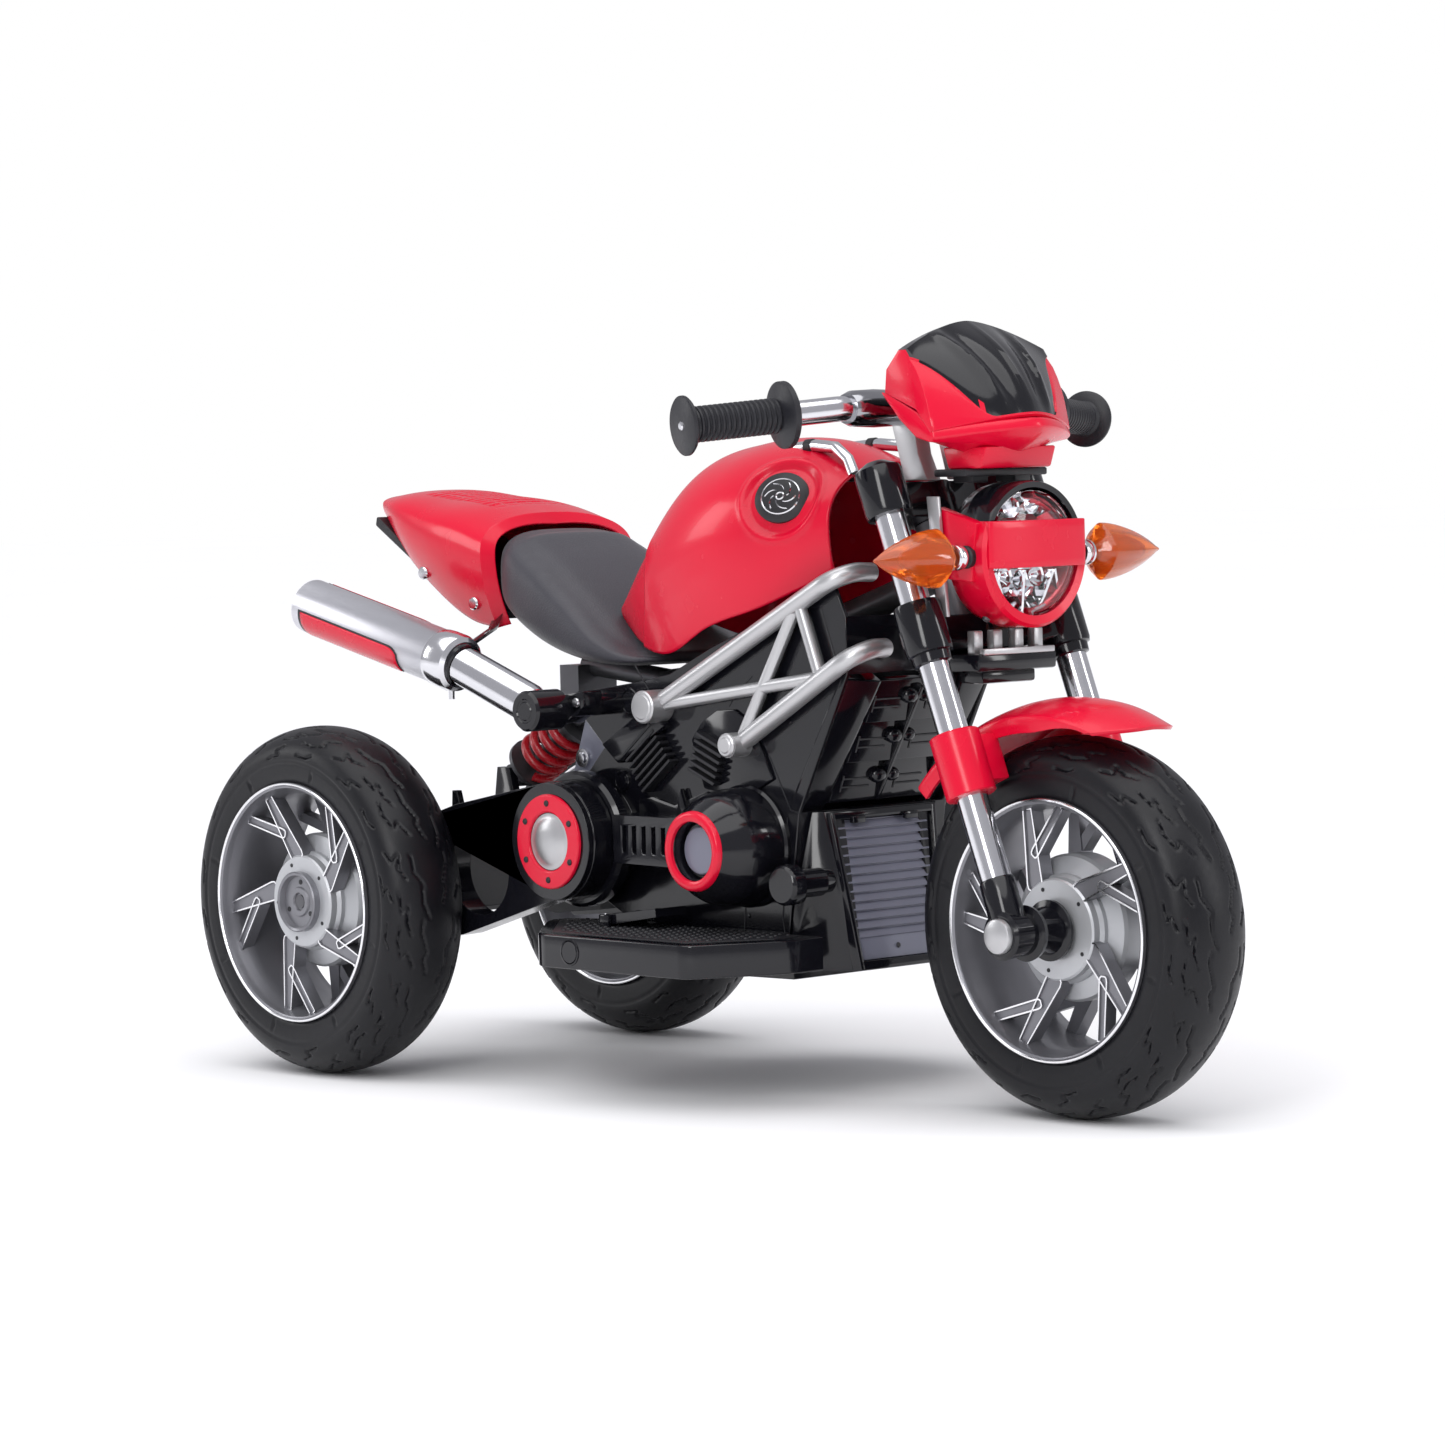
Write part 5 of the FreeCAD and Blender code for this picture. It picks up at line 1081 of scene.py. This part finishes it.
def radiator():
    """Slatted grille with a plain strip below, in a glossy funnel-shaped surround."""
    low, high = span("radiator_grille")
    foot, head = Vector((high.x, 0, low.z)), Vector((high.x - (high.z - low.z) * 20 / 129, 0, high.z))
    run = head - foot
    slats = []
    plain = 0.16
    up = run.normalized()
    ahead = Vector((up.z, 0, -up.x))

    def across(start, stop, out0, out1, half):
        """A bar across the grille between two heights, its front tilted from out0 to out1."""
        ring = []
        for t, out in ((start, out0), (stop, out1)):
            ring.append(foot + run * t + ahead * out)
        rear = [ring[1] - ahead * 3.5, ring[0] - ahead * 3.5]
        return skin([[p + Vector((0, y, 0)) for p in ring + rear] for y in (-half, half)])

    slats.append(across(0.0, plain, -0.6, -0.6, 42))
    count = 13
    for index in range(count):
        start = plain + (1 - plain) * index / count
        stop = plain + (1 - plain) * (index + 0.82) / count
        half = 43 + 8 * (start + stop) / 2
        slats.append(across(start, stop, 0.9, -2.0, half))
    slats.append(across(0.0, 1.0, -2.6, -2.6, 44))
    piece("radiator_slats", rounded(joined(*slats), 0.35, 1, 50), GRILLE, "frame",
          ["radiator_grille"], smooth=30)
    screw = turned([(0, 0.8), (1.8, 0.7), (2.2, 0)], 16, aimed(foot + run * 0.08 + ahead * 0.2, ahead))
    piece("radiator_screw", screw, DARK, "frame")
    frame_bars = []
    for t0, t1, half in ((-0.07, -0.005, 47), (1.005, 1.06, 56)):
        frame_bars.append(across(t0, t1, 3.5, 3.5, half))
    for side in (-1, 1):
        rings = []
        for t, half in ((-0.07, 42), (1.06, 54)):
            spot = foot + run * t
            rings.append([spot + ahead * out + Vector((0, side * y, 0)) for out, y in
                          ((3.5, half + 1), (3.5, half + 6), (-5, half + 8), (-5, half + 1))])
        frame_bars.append(skin(rings))
    for y in (-38, 22):
        frame_bars.append(block((head.x + 2, y, head.z - 3), (head.x + 6.5, y + 14, head.z + 3)))
    surround = cad_copy("radiator_housing")
    peg = turned([(0, 0), (13.8, 0), (15.6, 1.4), (16.4, 3.4), (16.4, 13.5), (14.5, 15), (11.5, 15.6),
                  (11.5, 42)], 56, aimed((138.6, -112.6, 180), (0, 1, 0)))
    piece("crash_peg_caps", both_sides(peg), BLACK, "frame", smooth=32)
    piece("radiator_surround", joined(rounded(surround, 1.6), rounded(joined(*frame_bars), 0.8)), BLACK,
          "frame", ["radiator_housing"], smooth=35)


def louvres():
    """Sloping front panel in four ledges with slots drawn as thin dark strips of painted shade, knobs and a rib,
    between two plain side rails.
    """
    low, high = span("louvre_panel")
    foot, head = Vector((high.x - 58, 0, low.z)), Vector((high.x, 0, high.z))
    run = head - foot
    up = run.normalized()
    ahead = Vector((up.z, 0, -up.x))
    ledges, dark, knobs = [], [], []
    count = 3
    for index in range(count):
        t0, t1 = index / count, (index + 1) / count
        half0, half1 = 54 - 9 * t0, 54 - 9 * t1
        rings = []
        for side in (-1, 1):
            rings.append([foot + run * t0 + ahead * 0.5 + Vector((0, side * half0, 0)),
                          foot + run * (t0 + 0.02) + ahead * 6 + Vector((0, side * half0, 0)),
                          foot + run * t1 - ahead * 0.5 + Vector((0, side * half1, 0)),
                          foot + run * t1 - ahead * 6 + Vector((0, side * half1, 0)),
                          foot + run * t0 - ahead * 6 + Vector((0, side * half0, 0))])
        ledges.append(rounded(skin(rings), 0.8))
        spot = foot + run * ((t0 + t1) / 2 + 0.03) + ahead * 2.6
        # Each slot is a pair of thin dark strips with a short dark upright at one end, standing proud of the
        # ledge: painted shade in place of the openings.
        for start, stop in ((-46, -14), (14, 44)):
            for shift in (0, 7):
                line = spot - up * shift + ahead * shift * 0.17
                dark.append(skin([[line + up * a + ahead * b + Vector((0, y, 0)) for a, b in
                                   ((-0.7, -1), (-0.7, 0.5), (0.7, 0.5), (0.7, -1))] for y in (start, stop)]))
            dark.append(skin([[spot + up * a + ahead * b + Vector((0, y, 0)) for a, b in
                               ((-11, -1), (-11, 2.2), (3, 0.2), (3, -1))] for y in (start, start + 1.6)]))
        for y, size in ((-9, 7.5), (7, 6.5)):
            ball = bmesh.new()
            place = Matrix.Translation(spot + ahead * 1.5 + up * 3 + Vector((0, y, 0)))
            bmesh.ops.create_uvsphere(ball, u_segments=24, v_segments=14, radius=size,
                                      matrix=place @ Matrix.Diagonal((0.9, 1.1, 0.9, 1)))
            knobs.append(ball)
        knobs.append(drum(3.2, -8, 8, aimed(spot + up * 3 + ahead * 2, (0, 1, 0)), 20))
    rib = skin([[foot + run * t + ahead * b + Vector((0, y, 0))
                 for y, b in ((-3, 0), (-2.5, 7.5), (1.5, 7.5), (2, 0))] for t in (0.02, 0.3, 0.6, 0.97)])
    knobs.append(rounded(rib, 0.8))
    for side in (-1, 1):
        rings = []
        for t, inner in ((-0.06, 55), (1.02, 46)):
            spot = foot + run * t
            rings.append([spot + ahead * out + Vector((0, side * y, 0)) for y, out in
                          ((inner, -4), (inner, 3.6), (inner + 4, 4.6), (82, -1), (84.5, -5), (82, -12),
                           (inner, -12))])
        ledges.append(rounded(skin(rings), 1.0))
    piece("louvre_ledges", joined(*ledges), BLACK, "frame", ["louvre_panel"], smooth=30)
    piece("louvre_slot_shade_strips", joined(*dark), DARK, "frame")
    piece("louvre_knobs", joined(*knobs), BLACK, "frame", smooth=50)


def footrests():
    """Glossy treads with a pebbled top pad, the pedal's hinge and a round plug on the edge."""
    low = span("footrests")[0]
    top = low.z + 27
    outline = [(-147, -100), (-141, -120), (-60, -200), (120, -200), (158, -120), (158, -86.5), (115, -86.5),
               (115, -84.2), (-119, -84.2)]
    tread = plate(outline, low.z, top)
    upright = [edge for edge in tread.edges if abs(edge.verts[0].co.z - edge.verts[1].co.z) > 5
               and min(vert.co.y for vert in edge.verts) < -90]
    bmesh.ops.bevel(tread, geom=upright, offset=15, offset_type="OFFSET", segments=6, profile=0.5,
                    affect="EDGES", clamp_overlap=True, material=-1)
    rims = [edge for edge in tread.edges if abs(edge.verts[0].co.z - edge.verts[1].co.z) < 0.1
            and min(vert.co.y for vert in edge.verts) < -88]
    bmesh.ops.bevel(tread, geom=rims, offset=4.5, offset_type="OFFSET", segments=4, profile=0.5,
                    affect="EDGES", clamp_overlap=True, material=-1)
    hinge_x, inner = PIVOT.x + 61, -SHELL_HALF - 14
    ears = [block((hinge_x - 6, y, top - 1), (hinge_x + 6, y + 4, top + 11)) for y in (inner - 39, inner + 1)]
    pin = drum(2.5, 0, 42, aimed((hinge_x, inner - 38, top + 6), (0, 1, 0)), 20)
    piece("footrest_treads", joined(both_sides(tread), rounded(joined(*ears), 1.2), pin), BLACK, "frame",
          ["footrests"], smooth=40)
    pad = [(-128, -117), (-58, -186), (104, -186), (142, -124), (142, -95), (-112, -95)]
    mat = rounded(plate(pad, top - 1, top + 0.9), 0.6)
    grains = []
    for row in range(9):
        for column in range(28):
            x, y = -112 + column * 9.4 + (row % 2) * 4.7, -100 - row * 9.4
            if x > -120 - (y + 117) + 6 and x < 136 + min(0, (y + 124) * 0.6):
                grains.append(drum(2.6, top + 0.4, top + 1.9, at(x, y, 0), 8, 1.4))
    piece("footrest_pads", both_sides(joined(mat, *grains)), DARK, "frame", smooth=30)
    plug = turned([(0, 0.9), (8.6, 0.9), (9.2, 0), (9.8, 0.9), (11, 0.7), (11.4, -0.6)], 48,
                  sideways(-20, -200, low.z + 14))
    piece("footrest_plugs", both_sides(plug), BLACK, "frame", smooth=25)


def mufflers():
    tail_end, head_end = Vector((-410, -150, 402)), Vector((-207, -150, 353))
    axis = (head_end - tail_end).normalized()
    length = (head_end - tail_end).length
    place = aimed(tail_end, axis, (0, 1, 0))
    can = turned([(17, 30), (21, 30), (21, 0.6), (22, 0), (23.5, 0.6), (23.5, length - 28),
                  (24.6, length - 26), (25, length - 20), (25, length - 8), (23.5, length - 3), (20, length),
                  (18.2, length), (18.2, length - 6)], 96, place)
    for face in can.faces:
        along = (face.calc_center_median() - tail_end).dot(axis)
        reach = ((face.calc_center_median() - tail_end) - axis * along).length
        # Inner wall and floor of the open tail end are painted dark: painted shade in the recess.
        if along < 31 and reach < 21.5:
            face.material_index = 1
        elif along > length - 26:
            face.material_index = 2
    # A dark disc closing the floor of the recess: painted shade in the can's open end.
    end_recess_shade = paint(drum(21, 28, 30, place, 64), 1)
    piece("muffler_cans", both_sides(joined(can, end_recess_shade)), [BRUSHED, DARK, CHROME], "frame",
          ["mufflers"], smooth=30)
    for name, grow, lift, lowest, finish_with, slot, nodes in (
            ("muffler_gaskets", 1.6, 0.35, 10, DARK, "dark_matt", ()),
            ("muffler_inlays", 0.0, 0.75, 12, RED, "red_gloss", ("muffler_panels",))):
        patches = []
        for middle_turn in (306, 126):
            def wrap(u, v, turn=middle_turn):
                span_round = math.radians(66) / 2 + grow / 23.5
                start, stop = lowest + 1.6 - grow, length - 62 + grow
                k = 2 * u - 1
                corner = 1 - max(0, (v - 0.9) / 0.1) ** 3 * 0.35
                angle = math.radians(turn) + k * span_round * corner
                reach = 23.5 + lift
                return place @ Vector((reach * math.cos(angle), reach * math.sin(angle),
                                       start + (stop - start) * v))
            patches.append(surface(20, 40, wrap, (tail_end + head_end) / 2))
        piece(name, both_sides(joined(*patches)), finish_with, "frame", nodes, smooth=40, thick=0.7,
              slot=slot)
    joint = Vector((PIVOT.x + 5, -150, 317))
    pipe_place = aimed(head_end, joint - head_end, (0, 1, 0))
    reach = (joint - head_end).length
    pipe = turned([(12, -4), (17, -4), (17, 3), (16.6, 4), (16.6, reach - 16), (15, reach - 10),
                   (12, reach - 8)], 64,
                  pipe_place)
    piece("exhaust_chrome", both_sides(pipe), CHROME, "frame", ["exhaust_pipes"], smooth=30)
    ring = turned([(17.4, -3), (19, -2), (19, 3), (17.4, 4)], 56, pipe_place)
    knuckle = turned([(0, 18.5), (7, 18.5), (8, 17.6), (9.4, 17.6), (10.4, 18.5), (15, 18.5), (17, 16),
                      (17, -16), (15, -18.5), (0, -18.5)], 56, aimed(joint, (0, -1, 0)))
    link = side_plate([(joint.x - 8, joint.z - 12), (joint.x + 10, joint.z - 12), (joint.x + 34, joint.z + 2),
                       (joint.x + 34, joint.z + 16), (joint.x + 6, joint.z + 12)], -134, -112)
    axle = drum(9, 0, 50, aimed((joint.x + 22, -134, joint.z + 3), (0, 1, 0)), 32)
    piece("exhaust_joints", both_sides(joined(ring, knuckle, rounded(link, 2), axle)), BLACK, "frame",
          ["exhaust_brackets"], smooth=30)
    bolt = turned([(0, 2), (3.4, 1.8), (4, 0.8), (4, -2)], 24,
                  sideways(joint.x + 26, -134, joint.z + 6))
    pin = drum(2.6, 0, 12, aimed((-222, -150, 336), (0, 0, -1)), 20)
    piece("exhaust_bolts", both_sides(joined(bolt, pin)), CHROME, "frame")
    hanger = skin([[Vector((x + dx, y, z + dz)) for dx, dz in ((-7, -2), (7, 2), (9, 6), (-5, 3))]
                   for x, y, z in ((-236, -118, 366), (-246, -84, 378), (-258, -66, 392))])
    piece("muffler_hangers", both_sides(rounded(hanger, 1)), BLACK, "frame")


def console():
    """Slim tube with a rubber band and small boxes between the tank and the upper clamp."""
    tube = []
    points = [Vector(p) for p in ((84, -34, 528), (112, -36, 530), (136, -38, 528), (152, -40, 518),
                                  (160, -42, 506))]
    for index, spot in enumerate(points):
        ahead = (points[min(index + 1, 4)] - points[max(index - 1, 0)]).normalized()
        side = ahead.cross(Vector((0, 1, 0))).normalized()
        tube.append([spot + (side * math.cos(a) + Vector((0, 1, 0)) * math.sin(a)) * 5
                     for a in (2 * math.pi * k / 24 for k in range(24))])
    piece("console_tubes", both_sides(skin(tube)), CHROME, "frame", smooth=40)
    boxes = [block((84, -26, 508), (128, 26, 524)), block((128, -30, 500), (156, 30, 514))]
    bands = [turned([(5, -4), (6, -3.5), (6, 3.5), (5, 4)], 32, aimed((104, y, 529.5), (1, 0, 0.05)))
             for y in (-35.5, 35.5)]
    piece("console_boxes", joined(rounded(joined(*boxes), 2), *bands), DARK, "frame")


for build in (wheels, tank, badges, seat, tail, hard_parts, visor, headlight, signals, handlebars, fork,
              fender, clutch_covers, arm_trim, engine_dress, radiator, louvres, footrests, mufflers, console):
    build()


# ---------------------------------------------------------------- studio
def studio():
    floor = bmesh.new()
    bmesh.ops.create_grid(floor, x_segments=1, y_segments=1, size=30)
    mesh = bpy.data.meshes.new("studio_floor")
    floor.to_mesh(mesh)
    floor.free()
    ground = bpy.data.objects.new("studio_floor", mesh)
    ground.location = (0, 0, -0.0005)
    bpy.context.scene.collection.objects.link(ground)
    paper = finish("studio_paper", (0.93, 0.93, 0.94), 0.9, mottle=0.01, patch=1, smear=0.03)
    mesh.materials.append(paper)
    world = bpy.data.worlds.new("studio_air")
    bpy.context.scene.world = world
    world.use_nodes = True
    nodes, links = world.node_tree.nodes, world.node_tree.links
    air = nodes["Background"]
    air.inputs["Color"].default_value = (0.94, 0.94, 1, 1)
    air.inputs["Strength"].default_value = 0.5
    backdrop = nodes.new("ShaderNodeBackground")
    backdrop.inputs["Color"].default_value = (1, 1, 1, 1)
    backdrop.inputs["Strength"].default_value = 1.0
    seen = nodes.new("ShaderNodeLightPath")
    choice = nodes.new("ShaderNodeMixShader")
    links.new(seen.outputs["Is Camera Ray"], choice.inputs["Fac"])
    links.new(air.outputs["Background"], choice.inputs[1])
    links.new(backdrop.outputs["Background"], choice.inputs[2])
    links.new(choice.outputs["Shader"], nodes["World Output"].inputs["Surface"])
    sun = bpy.data.lights.new("ceiling", "SUN")
    sun.energy = 2.1
    sun.angle = math.radians(75)
    overhead = bpy.data.objects.new("ceiling", sun)
    overhead.rotation_euler = (math.radians(12), math.radians(10), 0)
    bpy.context.scene.collection.objects.link(overhead)
    for name, spot, aim, width, height, power in (
            ("key", (1.5, -2.4, 1.5), (0, 0, 0.3), 0.7, 1.6, 26),
            ("strip", (2.6, 1.6, 1.3), (0.3, 0, 0.3), 0.4, 1.6, 14),
            ("rear", (-2.6, -1.8, 1.4), (0, 0, 0.3), 0.8, 1.4, 14)):
        lamp = bpy.data.lights.new(name, "AREA")
        lamp.shape = "RECTANGLE"
        lamp.size, lamp.size_y = width, height
        lamp.energy = power
        holder = bpy.data.objects.new(name, lamp)
        holder.location = spot
        holder.rotation_euler = (Vector(spot) - Vector(aim)).to_track_quat("Z", "Y").to_euler()
        bpy.context.scene.collection.objects.link(holder)
    lens = bpy.data.cameras.new("camera")
    lens.lens = 119.556
    lens.sensor_width = 36
    camera = bpy.data.objects.new("camera", lens)
    camera.location = (2.916775, -2.727126, 0.515977)
    camera.rotation_euler = [math.radians(angle) for angle in (86.93083, 1.39096, 47.31540)]
    bpy.context.scene.collection.objects.link(camera)
    bpy.context.scene.camera = camera
    bpy.context.scene.view_settings.view_transform = "Standard"


studio()
